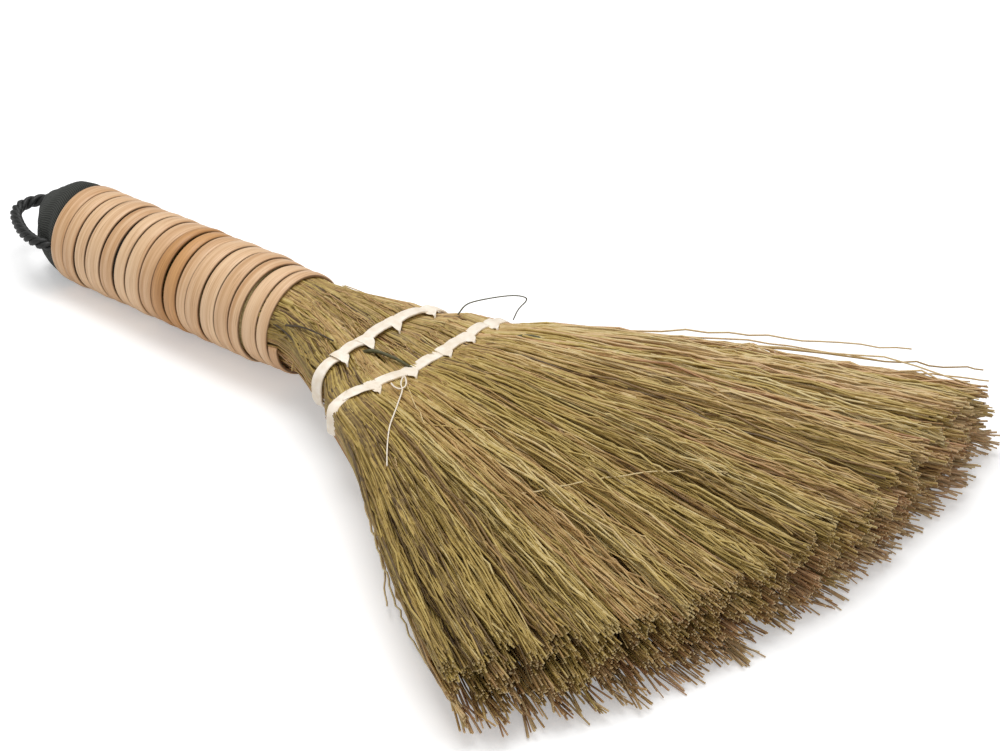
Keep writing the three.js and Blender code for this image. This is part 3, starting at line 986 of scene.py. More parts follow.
@dataclass
class StalkBundle:
    """One hank's stalks inside the handle: stiff stems packed side by side."""

    handle: Handle
    number: int
    edges: Pair
    thickness: float = 1.75
    pitch: float = 1.95
    radius: float = 15.2
    # How far the stems spread, at places along the handle; they open out past the sleeve's end
    spread: Table = ((-6, 1.0), (58, 1.0), (70, 1.08), (119, 1.1))

    def build(self, material: Material) -> None:
        """Lays the stems on a close-packed grid along the handle.

        Args:
            material: the stalk finish.
        """
        low, high = (edge * self.radius for edge in self.edges)
        # In a close-packed grid the rows lie 0.866 of a pitch apart.
        rows = np.arange(-self.radius, self.radius, self.pitch * 0.866)
        places = [
            (y, z)
            for number, z in enumerate(rows)
            for y in np.arange(-self.radius, self.radius, self.pitch) + (number % 2) * self.pitch / 2
            if math.hypot(y, z) <= self.radius and low <= y < high
        ]
        routes = [
            self.handle.placed(np.array([[x, apart * y, apart * z] for x, apart in self.spread]))
            for y, z in places
        ]
        radii = [np.ones(len(self.spread))] * len(routes)
        piece = swept(f"stalks_of_hank_{self.number}", routes, radii, self.thickness)
        dress(piece, material, [f"stalk_butts_{self.number}"])


@dataclass
class StalkTie:
    """Twine wound tight round the stalks under the winding."""

    handle: Handle
    number: int
    place: float
    turns: int = 3
    thickness: float = 1.55
    depth: float = 2.1

    def build(self, material: Material) -> None:
        """Winds the twine as one spiral.

        Args:
            material: the twine finish.
        """
        turn = np.linspace(0, self.turns, 24 * self.turns + 1)
        radius = float(self.handle.radius(np.array(self.place))) - self.depth
        along = self.place + (turn - self.turns / 2) * self.thickness * 0.95
        angle = turn * math.tau
        line = self.handle.placed(np.stack([along, radius * np.cos(angle), radius * np.sin(angle)], -1))
        piece = swept(f"twine_tie_{self.number}", [line], [np.ones(len(line))], self.thickness, 1)
        dress(piece, material, [f"stalk_tie_{self.number}"])


# Handle pieces

@dataclass
class SplintWinding:
    """A run of rattan splint turns; each turn's edges follow the uneven turns of the real handle."""

    handle: Handle
    name: str
    node: str
    slot: str
    first: float
    last: float
    thickness: float = 1.25
    crown: float = 0.42
    gap: float = 0.55
    half_width: float = 3.4
    slipped_turn: float = 5.2
    end_turn: float = 17.0
    end_angle: float = math.radians(-160)
    steps: int = 60
    sides: int = 14
    # The splint's sprung end: the turn where it starts, over how much of a turn, how far out and along
    sprung: tuple[float, float, float, float] = (16.9, 0.14, 1.6, 2.2)
    # Where the splint's butt-side edge lies, at turns counted from the butt
    turns: Table = (
        (-1, 0), (0, 0.5), (0.5, 1.6), (1, 7.3), (2, 14), (3, 20.3), (4, 28.2), (5, 36.6), (6, 43.2),
        (7, 51), (8, 58), (8.3, 61.4), (8.6, 63.6), (9, 65), (10, 71.8), (11, 77), (12, 85.2), (13, 93.2),
        (14, 101), (15, 107), (16, 115.3), (17, 121), (18, 126.6),
    )
    # How far the winding stands out over its even taper, at places along the handle
    swell: Table = (
        (0, 0.5), (8, 0.6), (30, 0.45), (55, 0.6), (75, 0.5), (88, 0.7), (99, 0.75), (104, 0.05), (115, -0.6),
        (130, -0.7),
    )

    def edge(self, turn: Array) -> Array:
        """Where the butt-side edge of the splint lies, at turns counted from the butt."""
        return read_table(self.turns, turn)

    def opening(self, turn: Array) -> Array:
        """The gap before the splint's edge; one turn near the butt has slipped and stands open."""
        return self.gap * (1 + 0.7 * np.sin(turn * 4.3)) + 0.95 * bell(turn, self.slipped_turn, 0.22)

    def spun(self) -> tuple[BMesh, Array, Array, Array]:
        """Spins a rounded strip up an even drum, one unit of x for each turn.

        Returns:
            The form, and each point's turn from the butt, place across the strip and rise over its middle.
        """
        # The strip's half width is under half a turn, so that each point's place tells its turn.
        half_strip, drum = 0.4, 10
        form = bmesh.new()
        ring = bmesh.ops.create_circle(form, cap_ends=False, segments=self.sides, radius=1.0)["verts"]
        for vert in ring:
            across = math.copysign(abs(vert.co.x) ** 0.45, vert.co.x)
            rise = math.copysign(abs(vert.co.y) ** 0.8, vert.co.y)
            vert.co = Vector((half_strip * across, 0.0, drum + rise))
        total = self.last - self.first
        bmesh.ops.spin(
            form,
            geom=list(form.verts) + list(form.edges),
            cent=(0, 0, 0),
            axis=(1, 0, 0),
            dvec=(1 / self.steps, 0, 0),
            angle=total * math.tau,
            steps=round(total * self.steps),
            use_merge=False,
            use_duplicate=False,
        )
        bmesh.ops.holes_fill(form, edges=[e for e in form.edges if e.is_boundary], sides=0)
        place = np.array([v.co for v in form.verts])
        part = np.mod(np.arctan2(-place[:, 1], place[:, 2]) / math.tau, 1.0)
        turn = part + np.round(place[:, 0] - part)
        across = (place[:, 0] - turn) / half_strip
        rise = np.hypot(place[:, 1], place[:, 2]) - drum
        return form, turn + self.first, across, rise

    def build(self, material: Material) -> None:
        """Fits the spun strip to the uneven turns of the handle.

        Args:
            material: the splint's finish.
        """
        form, turn, across, rise = self.spun()
        left = self.edge(turn)
        right = np.maximum(self.edge(turn + 1) - self.opening(turn + 1), left + 0.1)
        wave = 0.14 * np.sin(turn * 5.1) + 0.1 * np.sin(turn * 13.7)
        x = np.maximum(0, left + (right - left) * (across + 1) / 2 + wave * (turn > 0.3))
        lift = read_table(self.swell, left) + 0.22 * np.sin(turn * 2.4)
        tuck = self.crown * np.sqrt(np.maximum(0, 1 - across * across))
        radius = self.handle.radius(x) + lift - self.thickness / 2 - self.crown + rise * self.thickness / 2
        radius += np.where(rise > 0, tuck, 0)
        start, over, out, along = self.sprung
        sprung = np.clip((turn - start) / over, 0, 1) ** 2
        radius += out * sprung
        x += along * sprung
        angle = self.end_angle + math.tau * (self.end_turn - turn)
        for vert, px, pr, pa in zip(form.verts, x, radius, angle):
            vert.co = Vector((px, pr * math.cos(pa), pr * math.sin(pa)))
        bmesh.ops.transform(form, matrix=self.handle.matrix, verts=form.verts)
        rest_on_table(form)
        bmesh.ops.recalc_face_normals(form, faces=form.faces)
        piece = from_bmesh(self.name, form)
        add_attribute(piece.data, "length", turn * math.tau * self.handle.radius_butt)
        add_attribute(piece.data, "across", across * self.half_width)
        # rim: painted shade along the splint's edges, where the turns meet
        add_attribute(piece.data, "rim", np.clip((np.abs(across) - 0.9) / 0.1, 0, 1) * 0.8)
        tone = 0.12 * np.sin(turn * 1.9 + 0.4) + 0.07 * np.sin(turn * 3.1)
        add_attribute(piece.data, "tone", tone)
        dress(piece, material, [self.node])


@dataclass
class EndSleeve:
    """The ribbed black sleeve: gathered flat over the butt, and run on under the winding."""

    handle: Handle
    hidden_length: float = 62.0
    wall: float = 1.0
    rib: float = 1.0
    steps: int = 144
    # Place along the handle, half width and half height of the gathered cap
    cap: Table = (
        (-19.5, 8.0, 12.0), (-18.5, 8.8, 12.6), (-17, 10.2, 13.3), (-15, 12.2, 14.4), (-13, 14.0, 15.8),
        (-11, 15.2, 16.8), (-8.8, 16.0, 18.4), (-7, 16.2, 19.4), (-5, 16.3, 20.2), (-3.5, 16.8, 20.5),
        (-2, 18.1, 20.4), (-1, 18.7, 19.8), (-0.3, 18.7, 18.9), (0.4, 18.1, 18.1),
    )

    def build(self, material: Material) -> None:
        """Spins the sleeve's outline round the handle and gathers its end.

        Args:
            material: the cloth finish.
        """
        end = self.cap[0][0]
        places = [(end - 0.1, 0.0), (end - 0.3, 0.55), (end - 0.3, 0.9)] + [(x, 1.0) for x, _, _ in self.cap]
        places += [(x, 1.0) for x in np.linspace(8, self.hidden_length, 6)]
        form = bmesh.new()
        verts = [form.verts.new((x, 0, radius)) for x, radius in places]
        edges = [form.edges.new(pair) for pair in zip(verts, verts[1:])]
        bmesh.ops.spin(
            form, geom=verts + edges, cent=(0, 0, 0), axis=(1, 0, 0), dvec=(0, 0, 0),
            angle=math.tau, steps=self.steps, use_merge=True, use_duplicate=False,
        )
        bmesh.ops.remove_doubles(form, verts=form.verts, dist=0.001)
        bmesh.ops.recalc_face_normals(form, faces=form.faces)
        ribs = round(math.tau * self.handle.radius_butt / self.rib)
        length, girth = [], []
        for vert in form.verts:
            x, share = vert.co.x, math.hypot(vert.co.y, vert.co.z)
            angle = math.atan2(vert.co.y, vert.co.z)
            wide, tall = (float(read_table(self.cap, x, column)) for column in (1, 2))
            fold = 0.14 * math.sin(angle * 7 + 0.7) + 0.1 * math.sin(angle * 12 + x * 0.35)
            fold *= min(1.0, max(0.0, -x / 5))
            length.append(x + (1 - share) * 6)
            girth.append((angle / math.tau + 0.5) * ribs * self.rib)
            hidden = max(0.0, x - 0.4) / self.hidden_length * 0.4
            vert.co.y = math.sin(angle) * share * (wide + fold + hidden)
            vert.co.z = math.cos(angle) * share * (tall + fold + hidden)
        bmesh.ops.transform(form, matrix=self.handle.matrix, verts=form.verts)
        rest_on_table(form)
        piece = from_bmesh("ribbed_sleeve", form)
        add_attribute(piece.data, "length", np.array(length))
        add_attribute(piece.data, "girth", np.array(girth))
        cloth = piece.modifiers.new("cloth_wall", "SOLIDIFY")
        cloth.thickness = self.wall * MM
        cloth.offset = -1.0
        dress(piece, material, ["end_sleeve"])


@dataclass
class HangingLoop:
    """The twisted cord loop at the butt: three plies laid together, tucked under the winding."""

    handle: Handle
    cord: float = 4.8
    plies: int = 3
    # A ply's distance from the middle line and its diameter, as shares of the cord's
    ply_offset: float = 0.27
    ply_size: float = 0.5
    lay: float = 13.0
    points: int = 150
    tail_length: float = 44.0
    tail_radius: float = 17.95
    tail_points: int = 8
    tail_strands: int = 5
    strand: float = 0.75
    strand_pitch: float = 0.85
    far_lift: float = 1.2
    # The middle line of the near half, as place along the handle, across it and over its axis
    half: Line = (
        (2.5, -16.6, 0.6), (0.6, -17.4, 0.8), (-1.4, -18.6, 1.2), (-4, -19.6, 1.5), (-8, -20.0, 1.6),
        (-13, -19.0, 1.4), (-19, -16.6, 1.1), (-25, -13.2, 0.8), (-31, -9.4, 0.6), (-35.6, -5.2, 0.4),
        (-37.9, 0, 0.3),
    )

    def middle(self) -> Array:
        """Draws the cord's middle line; the hidden far half mirrors the near one, a little higher.

        Returns:
            Points in handle millimetres, from one root to the other, at even steps.
        """
        near = np.array(self.half)
        far = near[-2::-1] * np.array([1, -1, 1])
        far[:, 2] += self.far_lift * np.clip(-far[:, 0] / 8, 0, 1) * np.clip(far[:, 1] / 12, 0, 1)
        route = rounded_route(np.vstack([near, far]), 4)
        run = run_lengths(route)
        even = np.linspace(0, run[-1], self.points)
        return np.stack([np.interp(even, run, route[:, i]) for i in range(3)], -1)

    def build(self, material: Material) -> None:
        """Args:
            material: the cord finish.
        """
        middle = self.middle()
        run = run_lengths(middle)
        tangent = np.gradient(middle, axis=0)
        tangent /= np.linalg.norm(tangent, axis=1)[:, None]
        side = np.cross(tangent, [0, 0, 1.0])
        side /= np.linalg.norm(side, axis=1)[:, None]
        up = np.cross(side, tangent)
        slim = np.clip(0.5 + np.minimum(run, run[-1] - run) / 12, 0.5, 1)
        routes = []
        for ply in range(self.plies):
            angle = run / self.lay * math.tau + math.tau * ply / self.plies
            offset = side * np.cos(angle)[:, None] + up * np.sin(angle)[:, None]
            routes.append(self.handle.placed(middle + offset * (self.cord * self.ply_offset * slim)[:, None]))
        piece = swept("twisted_loop", routes, [slim] * self.plies, self.cord * self.ply_size, 2)
        path = self.handle.placed(middle) * MM
        dress(piece, material, ["hanging_loop"], None)
        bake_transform(piece)

    def tail(self, name: str, side: int, material: Material) -> None:
        """Lays one end of the cord, opened flat into strands, along the handle under the winding.

        Args:
            name: near or far.
            side: -1 for the near side, 1 for the far side.
            material: the cord finish.
        """
        along = np.linspace(1.2, 1 + self.tail_length, self.tail_points)
        beside = np.full(self.tail_points, side * self.tail_radius)
        routes = []
        for strand in range(self.tail_strands):
            spread = (strand - (self.tail_strands - 1) / 2) * self.strand_pitch
            line = np.stack([along, beside, spread + 0.15 * np.sin(along / 4 + strand)], -1)
            routes.append(self.handle.placed(line))
        radii = [np.ones(self.tail_points)] * len(routes)
        piece = swept(f"loop_cord_tail_{name}", routes, radii, self.strand)
        dress(piece, material, [f"loop_tail_{name}"])


# Sewing

@dataclass
class CaneRow:
    """One sewn row: a flat cane laid round the head and the stitches that hold it down."""

    head: Head
    row: int
    band_width: float = 4.6
    band_thickness: float = 0.9
    band_margin: float = 0.6
    stitch_thickness: float = 0.4
    seat: float = 0.5
    segments: int = 160
    # Where the lapped end's point lies across the head, and where it goes under a stitch
    lap_ends: Pair = (-41.0, -25.0)
    lap_half_width: float = 2.7
    lap_gap: float = 0.1
    lap_shift: float = 1.1
    # A stitch's upper half from its pointed end: place along x from the band's middle, height over the
    # band's top, place across from the stitch's own, and half width
    flap: Table = (
        (6.1, -6.0, -2.2, 0.35), (6.4, -2.8, -2.2, 0.35), (6.1, -1.0, -2.1, 0.45), (5.2, -0.6, -1.4, 1.2),
        (4.0, -0.25, -0.6, 2.1), (2.7, 0.25, 0.0, 2.8), (1.4, 0.42, 0.0, 2.9), (0.0, 0.45, 0.0, 2.9),
        (-1.4, 0.42, 0.0, 2.9), (-2.5, 0.3, 0.0, 2.7), (-2.8, -0.5, 0.0, 2.5), (-2.8, -2.2, 0.0, 2.0),
        (-2.6, -6.0, 0.0, 1.6),
    )

    def waist(self) -> tuple[float, float, float, float]:
        """Place, half width, half thickness and squareness of the waist under the cane."""
        at = self.head.rows[self.row]
        return (at, *(float(v) for v in self.head.section(np.array(at))))

    def crest(self, y: float) -> float:
        """How far the cane's inner side stands over the head's middle, at a place across it."""
        _, width, thick, square = self.waist()
        return (thick + self.band_margin) * (1 - abs(y / width) ** square) ** (1 / square)

    def place(self, form: BMesh) -> None:
        """Moves a form from the broom's own millimetres to the row frame."""
        bmesh.ops.translate(form, vec=(self.head.handle.start, 0, 0), verts=form.verts)
        bmesh.ops.scale(form, vec=(MM, MM, MM), verts=form.verts)

    def strip(self, name: str, node: str, form: BMesh, levels: int, material: Material) -> None:
        """Makes a thin rounded strip of cane.

        Args:
            name: the piece's name.
            node: the CAD node that it stands for.
            form: the strip's face, in the broom's own millimetres.
            levels: how finely it is rounded.
            material: the cane finish.
        """
        bmesh.ops.recalc_face_normals(form, faces=form.faces)
        bmesh.ops.solidify(form, geom=list(form.faces), thickness=self.stitch_thickness)
        bmesh.ops.recalc_face_normals(form, faces=form.faces)
        self.place(form)
        piece = from_bmesh(name, form)
        rounded = piece.modifiers.new("rounded", "SUBSURF")
        rounded.levels = rounded.render_levels = levels
        dress(piece, material, [node])

    def band(self, material: Material) -> None:
        """Lays the flat cane round the waist, pulled in at each stitch.

        Args:
            material: the cane finish.
        """
        at, width, thick, square = self.waist()
        middle = float(self.head.spine(np.array(at)))
        form = bmesh.new()
        ring = bmesh.ops.create_circle(form, cap_ends=False, segments=self.segments, radius=1.0)["verts"]
        spans = []
        for vert in ring:
            angle = math.atan2(vert.co.y, vert.co.x)
            c, s = math.cos(angle), math.sin(angle)
            share = np.array(math.copysign(abs(c) ** (2 / square), c))
            z = (thick + self.band_margin) * math.copysign(abs(s) ** (2 / square), s)
            z -= math.copysign(float(self.head.sag(self.row, share)), s) * min(1.0, abs(z) / 4)
            span = self.band_width * (1 + 0.08 * math.sin(angle * 4 + 2))
            place = at + float(self.head.stray(self.row, share)) - span / 2
            vert.co = Vector((place, float(share) * (width + self.band_margin), middle + z))
            spans.append(span)
        edges = list(form.edges)
        grown = bmesh.ops.extrude_edge_only(form, edges=edges)["geom"]
        for vert in (g for g in grown if isinstance(g, BMVert)):
            near = min(range(len(ring)), key=lambda i: (ring[i].co.yz - vert.co.yz).length)
            vert.co.x += spans[near]
        bmesh.ops.recalc_face_normals(form, faces=form.faces)
        bmesh.ops.solidify(form, geom=list(form.faces), thickness=-self.band_thickness)
        bmesh.ops.recalc_face_normals(form, faces=form.faces)
        sharp = [e for e in form.edges if e.is_manifold and e.calc_face_angle(0) > 1.0]
        bmesh.ops.bevel(
            form, geom=sharp, offset=0.3, offset_type="OFFSET", segments=2, profile=0.5,
            affect="EDGES", material=-1, clamp_overlap=True,
        )
        self.place(form)
        piece = from_bmesh(f"cane_round_row_{self.row + 1}", form)
        dress(piece, material, [f"cane_band_{self.row + 1}"])

    def lap(self, material: Material) -> None:
        """Lays the cane's last end over its first: a strip on the band that runs out to a point.

        Args:
            material: the cane finish.
        """
        at, width, _, _ = self.waist()
        start, end = self.lap_ends
        form = bmesh.new()
        bmesh.ops.create_grid(form, x_segments=12, y_segments=2, size=1.0)
        for vert in form.verts:
            part = (vert.co.x + 1) / 2
            y = start + (end - start) * part
            share = np.array(y / width)
            rise = self.crest(y)
            rise += self.band_thickness + self.lap_gap - float(self.head.sag(self.row, share))
            half = self.lap_half_width * min(1.0, 0.15 + part * 2.4)
            x = at + float(self.head.stray(self.row, share)) + self.lap_shift + vert.co.y * half
            vert.co = Vector((x, y, float(self.head.spine(np.array(at))) + rise))
        self.strip(f"cane_lap_row_{self.row + 1}", f"cane_band_{self.row + 1}", form, 1, material)

    def stitch(self, number: int, material: Material) -> None:
        """Sews one stitch: a flap over the cane, down through the head, and a flap underneath.

        Args:
            number: which stitch of the row, from 0 at the near edge.
            material: the cane finish.
        """
        at, width, _, _ = self.waist()
        y = self.head.stitches[self.row][number]
        share = np.array(y / width)
        at += float(self.head.stray(self.row, share))
        middle = float(self.head.spine(np.array(at)))
        top = self.crest(y)
        top += self.band_thickness - float(self.head.sag(self.row, share))
        # The pointed end lies on the straw, which stands higher than the cane past the second row.
        line = []
        for x, z, shift, half in self.flap:
            straw = float(self.head.top(np.array(at + x), np.array(y + shift))) - middle + self.seat
            line.append((x, max(top + z, straw) if x > 3 and z > -2 else top + z, shift, half))
        line += [(x, -z, shift, half) for x, z, shift, half in line[-2::-1]]
        form = bmesh.new()
        bmesh.ops.create_grid(form, x_segments=len(line) - 1, y_segments=2, size=1.0)
        lean = 0.6 * math.sin(number * 2.1 + self.row * 1.3)
        for vert in form.verts:
            step = round((vert.co.x + 1) / 2 * (len(line) - 1))
            x, z, shift, half = line[step]
            crown = 0.06 * (1 - vert.co.y ** 2) * (1 if z > 0 else -1)
            vert.co = Vector((at + x, y + shift + lean * x / 6 + vert.co.y * half, middle + z + crown))
        place = f"{self.row + 1}_{number + 1}"
        self.strip(f"cane_stitch_piece_{place}", f"cane_stitch_{place}", form, 2, material)


# Loose ends

@dataclass
class LooseStraw:
    """Straws and fibres that have worked loose: strays at the edges, bent stems and short fuzz.

    Each line's points are places along the broom, across it and over the table.
    """

    head: Head
    fuzz_count: int = 150
    # Where fuzz lies along the broom, how much of it lies in each zone, and how wide the head is there
    fuzz_zones: Table = ((127, 157), (168, 178), (190, 226))
    fuzz_shares: tuple[float, ...] = (0.45, 0.2, 0.35)
    fuzz_widths: Table = ((126, 15), (163, 30), (190, 46), (226, 66))
    fuzz_points: int = 5
    strays: tuple[Line, ...] = (
        ((205, 60, 29), (233.5, 88.7, 28), (258.3, 108.5, 27), (279.2, 124.9, 25.5), (304.3, 143.2, 24)),
        ((212, 66, 29), (248.2, 94.9, 28), (274.7, 112.4, 26.5), (300.7, 126.5, 25)),
        ((240, 84, 28.5), (277.7, 107.6, 28), (303.1, 124.1, 27), (321, 137.8, 26), (334.8, 147.7, 25)),
        ((270, 98, 28.5), (308.7, 117.9, 28), (327.4, 130.4, 27), (342.2, 141.2, 26)),
        ((208, -56, 16), (223.3, -70.6, 13), (236.1, -77.8, 10), (242.7, -82.6, 8), (250.1, -89.4, 6),
         (258.6, -97.8, 5)),
        ((220, -66, 15), (235.9, -79.5, 12), (246.3, -85.9, 9), (257.4, -93.4, 7), (268.9, -100.4, 5),
         (280.6, -106.8, 3), (295.5, -113, 2)),
    )
    crossing: tuple[Line, ...] = (
        ((270, -46, 31.5), (277.9, -36, 33.2), (288, -17.7, 33.4), (295.2, -4.1, 33.1), (307, 9.7, 32.6),
         (316, 20, 30.5)),
        ((205.1, -39, 34.8), (216.3, -35.4, 35.6), (227, -30.9, 35.4), (238, -20.3, 34.6)),
        ((193, -18, 34.8), (203.1, -25.7, 36), (218.1, -34.7, 35.5), (228.8, -38.2, 34.5)),
    )
    stems: tuple[Line, ...] = (
        ((130, -17.6, 35), (136.5, -18.2, 37.6), (142.2, -18.9, 39), (150.5, -19.4, 39.8),
         (155.8, -18.2, 38.6)),
        ((119, -16.2, 32), (126, -17.6, 33), (132.6, -19.4, 33), (140, -22, 32.6), (146, -24.4, 31.4)),
    )
    sprung: Line = (
        (171.4, 30.4, 32), (173, 32.3, 35.9), (174.5, 34, 39.3), (177.1, 36.7, 40.8), (182.8, 42.9, 42.2),
        (187.5, 47.9, 42.7), (190.4, 51, 41.6), (190.6, 51.2, 40), (188.3, 48.7, 36.6), (187.2, 47.2, 32),
    )
    leaves: tuple[Line, ...] = (
        ((166.6, -14, 36), (171, -12.8, 38.3), (176, -11.2, 37.8), (181, -9.4, 36.6), (186, -7.6, 34.2)),
        ((197, 34, 33.5), (202, 37.5, 35), (205.6, 40.2, 34.8), (210.6, 42, 33.5)),
    )
    fibre: Line = (
        (190, -22.9, 36), (192.8, -24.4, 36.3), (195.7, -24.3, 36.3), (196.1, -21.7, 36.4),
        (193.9, -18.8, 36.5), (189.9, -15.7, 36.3), (191.5, -18.6, 36.8), (194.2, -22.4, 37),
        (197, -24, 36.6), (200.4, -29.7, 36), (205.2, -37, 36), (209.6, -44.3, 35.8),
        (214.3, -50.2, 35.4), (220.4, -57.2, 34.8), (226.6, -63.7, 34.2),
    )

    def eased(self, lines: Iterable[Line], kink: float = 0.0) -> list[Array]:
        """Rounds the corners of lines, and moves them from the broom's own places to row millimetres.

        Args:
            lines: the lines' points.
            kink: how far a line strays to either side of its points, as a knotty straw does.

        Returns:
            The lines in row millimetres.
        """
        chance = np.random.default_rng(7)
        made = []
        for line in lines:
            route = rounded_route(np.array(line, float), 2)
            route[3:-3, 1:] += chance.normal(0, kink, (len(route) - 6, 2))
            made.append(route + np.array([self.head.handle.start, 0, 0]))
        return made

    def rods(
        self,
        name: str,
        routes: list[Array],
        thickness: float,
        material: Material,
        slot: str,
        tint: float = 0.6,
        warm: float = 0.4,
    ) -> None:
        """Makes lines into thin rods that taper to their ends.

        Args:
            name: the piece's name.
            routes: the lines in row millimetres.
            thickness: the rods' diameter in millimetres.
            material: their finish.
            slot: not used.
            tint: how pale a straw is.
            warm: how red a straw is.
        """
        radii = [np.linspace(1.0, 0.7, len(route)) for route in routes]
        chance = np.random.default_rng(len(routes))
        traits = {
            "tint": np.clip(tint + chance.normal(0, 0.1, len(routes)), 0, 0.86),
            "warm": np.clip(warm + chance.normal(0, 0.2, len(routes)), 0, 1),
            "reach": np.full(len(routes), 0.7),
        }
        dress(swept(name, routes, radii, thickness, 0, traits), material)

    def fuzz(self, side: int) -> list[Array]:
        """Strews short fibres over the head between its rows.

        Args:
            side: 1 for the upper side, -1 for the underside.

        Returns:
            Their lines in row millimetres.
        """
        chance = np.random.default_rng(40 + side)
        lines = []
        for _ in range(self.fuzz_count):
            low, high = self.fuzz_zones[chance.choice(len(self.fuzz_zones), p=self.fuzz_shares)]
            start = chance.uniform(low, high)
            wide = float(read_table(self.fuzz_widths, start))
            y = chance.uniform(-wide, 0.7 * wide)
            heading = 0.5 * y / wide + chance.normal(0, 0.2)
            run = min(chance.uniform(6, 24), high - start + 2)
            far = np.linspace(0, run, self.fuzz_points)
            x = start + far
            across = y + far * math.tan(heading) + chance.normal(0, 0.35, self.fuzz_points)
            lift = 0.15 + np.abs(chance.normal(0, 0.35, self.fuzz_points))
            top = self.head.top(x, across)
            z = top + lift if side > 0 else np.maximum(2 * self.head.spine(x) - top - lift, 0.4)
            lines.append(np.stack([x + self.head.handle.start, across, z], -1))
        return lines

    def build(self, straw: Material, stem: Material, leaf: Material, cane: Material) -> None:
        """Makes the loose pieces.

        Args:
            straw: the straw finish.
            stem: the finish of the weathered stems.
            leaf: the finish of the rolled leaves.
            cane: the cane finish.
        """
        self.rods("stray_straws", self.eased(self.strays, 0.45), 0.9, straw, "straw", 0.75, 0.3)
        self.rods("crossing_straws", self.eased(self.crossing, 0.3), 0.8, straw, "straw", 0.8, 0.3)
        self.rods("weathered_stems", self.eased(self.stems), 1.0, stem, "stalk")
        self.rods("sprung_stem", self.eased([self.sprung]), 0.65, leaf, "stalk")
        self.rods("rolled_leaves", self.eased(self.leaves), 1.9, leaf, "stalk")
        self.rods("loose_cane_fibre", self.eased([self.fibre]), 0.8, cane, "cane")
        self.rods("fuzz_on_top", self.fuzz(1), 0.45, straw, "straw", 0.6, 0.45)
        self.rods("fuzz_underneath", self.fuzz(-1), 0.45, straw, "straw", 0.6, 0.45)


# Setting

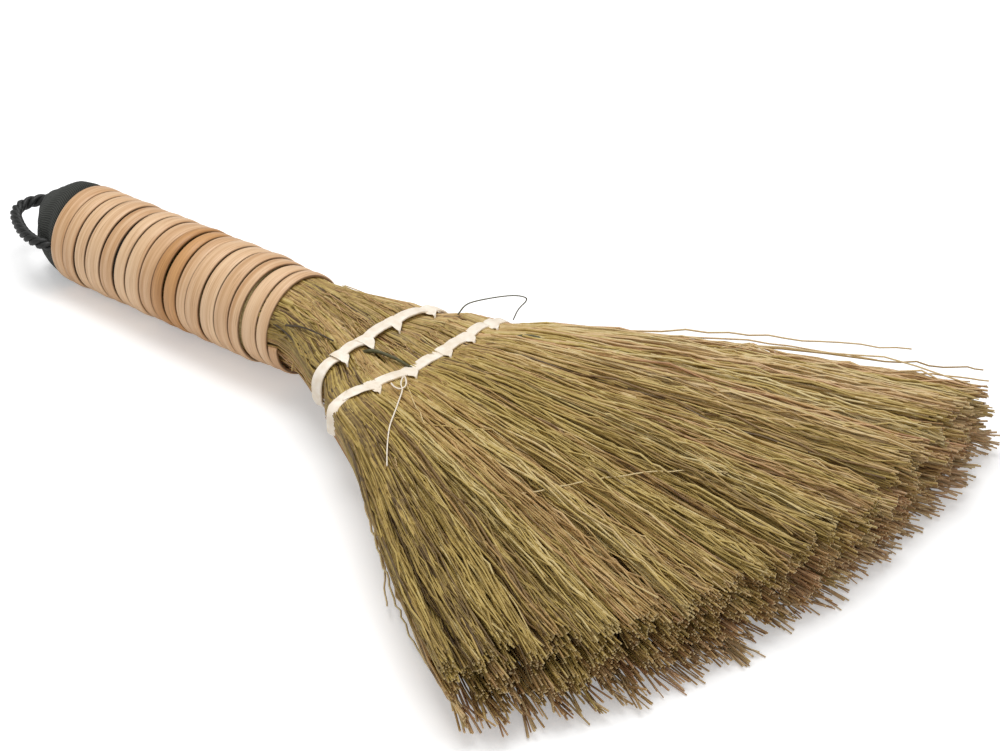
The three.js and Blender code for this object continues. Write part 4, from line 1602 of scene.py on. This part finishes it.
@dataclass(frozen=True)
class Studio:
    """A pale table, soft light from above, and the photograph's camera."""

    camera_place: Point = (1.01395, -1.05064, 0.88818)
    camera_turn: Point = (59.247, -0.051, 42.349)
    lens: float = 162.0
    # The point that the lamps face
    aim: Point = (0.05, 0.0, 0.0)
    sky: float = 0.42
    # How much the table shines by itself, for the camera only
    table_glow: float = 0.32

    def camera(self) -> None:
        """Sets the camera at the photograph's angle."""
        data = bpy.data.cameras.new("camera")
        data.sensor_width = 36.0
        data.lens = self.lens
        data.clip_end = 20.0
        made = new_object("camera", data)
        made.location = self.camera_place
        made.rotation_euler = Euler([math.radians(a) for a in self.camera_turn], "XYZ")
        bpy.context.scene.camera = made

    def lamp(self, name: str, place: Point, size: float, power: float) -> None:
        """Hangs a square soft lamp.

        Args:
            name: its name.
            place: where it hangs.
            size: its side in metres.
            power: in watts.
        """
        data = bpy.data.lights.new(name, "AREA")
        data.size = size
        data.energy = power
        made = new_object(name, data)
        made.location = place
        made.rotation_euler = (Vector(self.aim) - Vector(place)).to_track_quat("-Z", "Y").to_euler()

    def floor(self) -> None:
        """Lays the pale table, which looks white to the camera and keeps the broom's shadow."""
        form = bmesh.new()
        bmesh.ops.create_grid(form, x_segments=1, y_segments=1, size=6.0)
        table = from_bmesh("table", form, smooth=False)
        material, tree, shader = new_material("pale_table")
        shader.inputs["Base Color"].default_value = linear("#f2f2f2")
        shader.inputs["Roughness"].default_value = 0.9
        path = add_node(tree, "ShaderNodeLightPath")
        seen = {0: path.outputs["Is Camera Ray"], 1: self.table_glow}
        glow = add_node(tree, "ShaderNodeMath", seen, operation="MULTIPLY")
        shader.inputs["Emission Color"].default_value = (1, 1, 1, 1)
        tree.links.new(glow.outputs[0], shader.inputs["Emission Strength"])
        table.data.materials.append(material)

    def build(self) -> None:
        """Builds the whole setting."""
        scene = bpy.context.scene
        scene.view_settings.view_transform = "Standard"
        world = bpy.data.worlds.new("studio")
        world.use_nodes = True
        background = world.node_tree.nodes["Background"]
        background.inputs["Color"].default_value = (1, 1, 1, 1)
        background.inputs["Strength"].default_value = self.sky
        scene.world = world
        self.camera()
        self.floor()
        self.lamp("key", (-0.2, 0.15, 1.25), 0.9, 11.0)
        self.lamp("fill", (0.9, -0.9, 0.75), 1.2, 4.0)


def main() -> None:
    """Builds the broom, piece by piece."""
    logging.basicConfig(level=logging.INFO, format="%(message)s")
    Studio().build()
    handle = Handle()
    head = Head(handle)
    straw = StrawFinish().build()
    stalk = FibreFinish(Fibre.DRY_STALK).build()
    twine = FibreFinish(Fibre.HEMP_TWINE).build()
    rattan = RattanFinish().build()
    dark_rattan = RattanFinish("dark_split_rattan", "#d6a26b", "#ab7845", "#784e2f", "#52361f").build()
    cloth = ClothFinish().build()
    cord = FibreFinish(Fibre.BLACK_CORD).build()
    cane = FibreFinish(Fibre.BLEACHED_CANE).build()
    stem = FibreFinish(Fibre.WEATHERED_STEM).build()
    leaf = FibreFinish(Fibre.DRIED_LEAF).build()
    loop = HangingLoop(handle)
    loop.build(cord)
    loop.tail("near", -1, cord)
    loop.tail("far", 1, cord)
    EndSleeve(handle).build(cloth)
    # Each splint's place, its slot, its first and last turn, and its finish
    for place, slot, first, last, finish in (
        ("butt", "splint", -0.45, 7.8, rattan),
        ("middle", "dark_splint", 7.8, 9.8, dark_rattan),
        ("neck", "splint", 9.8, 17.05, rattan),
    ):
        splint = SplintWinding(handle, f"splint_at_{place}", f"splint_wrap_{place}", slot, first, last)
        splint.build(finish)
    for number, along in enumerate((82.0, 106.0), 1):
        StalkTie(handle, number, along).build(twine)
    for number, edges in enumerate(HANK_EDGES, 1):
        StalkBundle(handle, number, edges).build(stalk)
        hank = StrawHank(head, number, edges)
        for growth in Growth:
            hank.build(growth, straw)
    for number in range(len(head.rows)):
        row = CaneRow(head, number)
        row.band(cane)
        for stitch in range(len(head.stitches[number])):
            row.stitch(stitch, cane)
    CaneRow(head, 1).lap(cane)
    LooseStraw(head).build(straw, stem, leaf, cane)


if __name__ == "__main__":
    main()
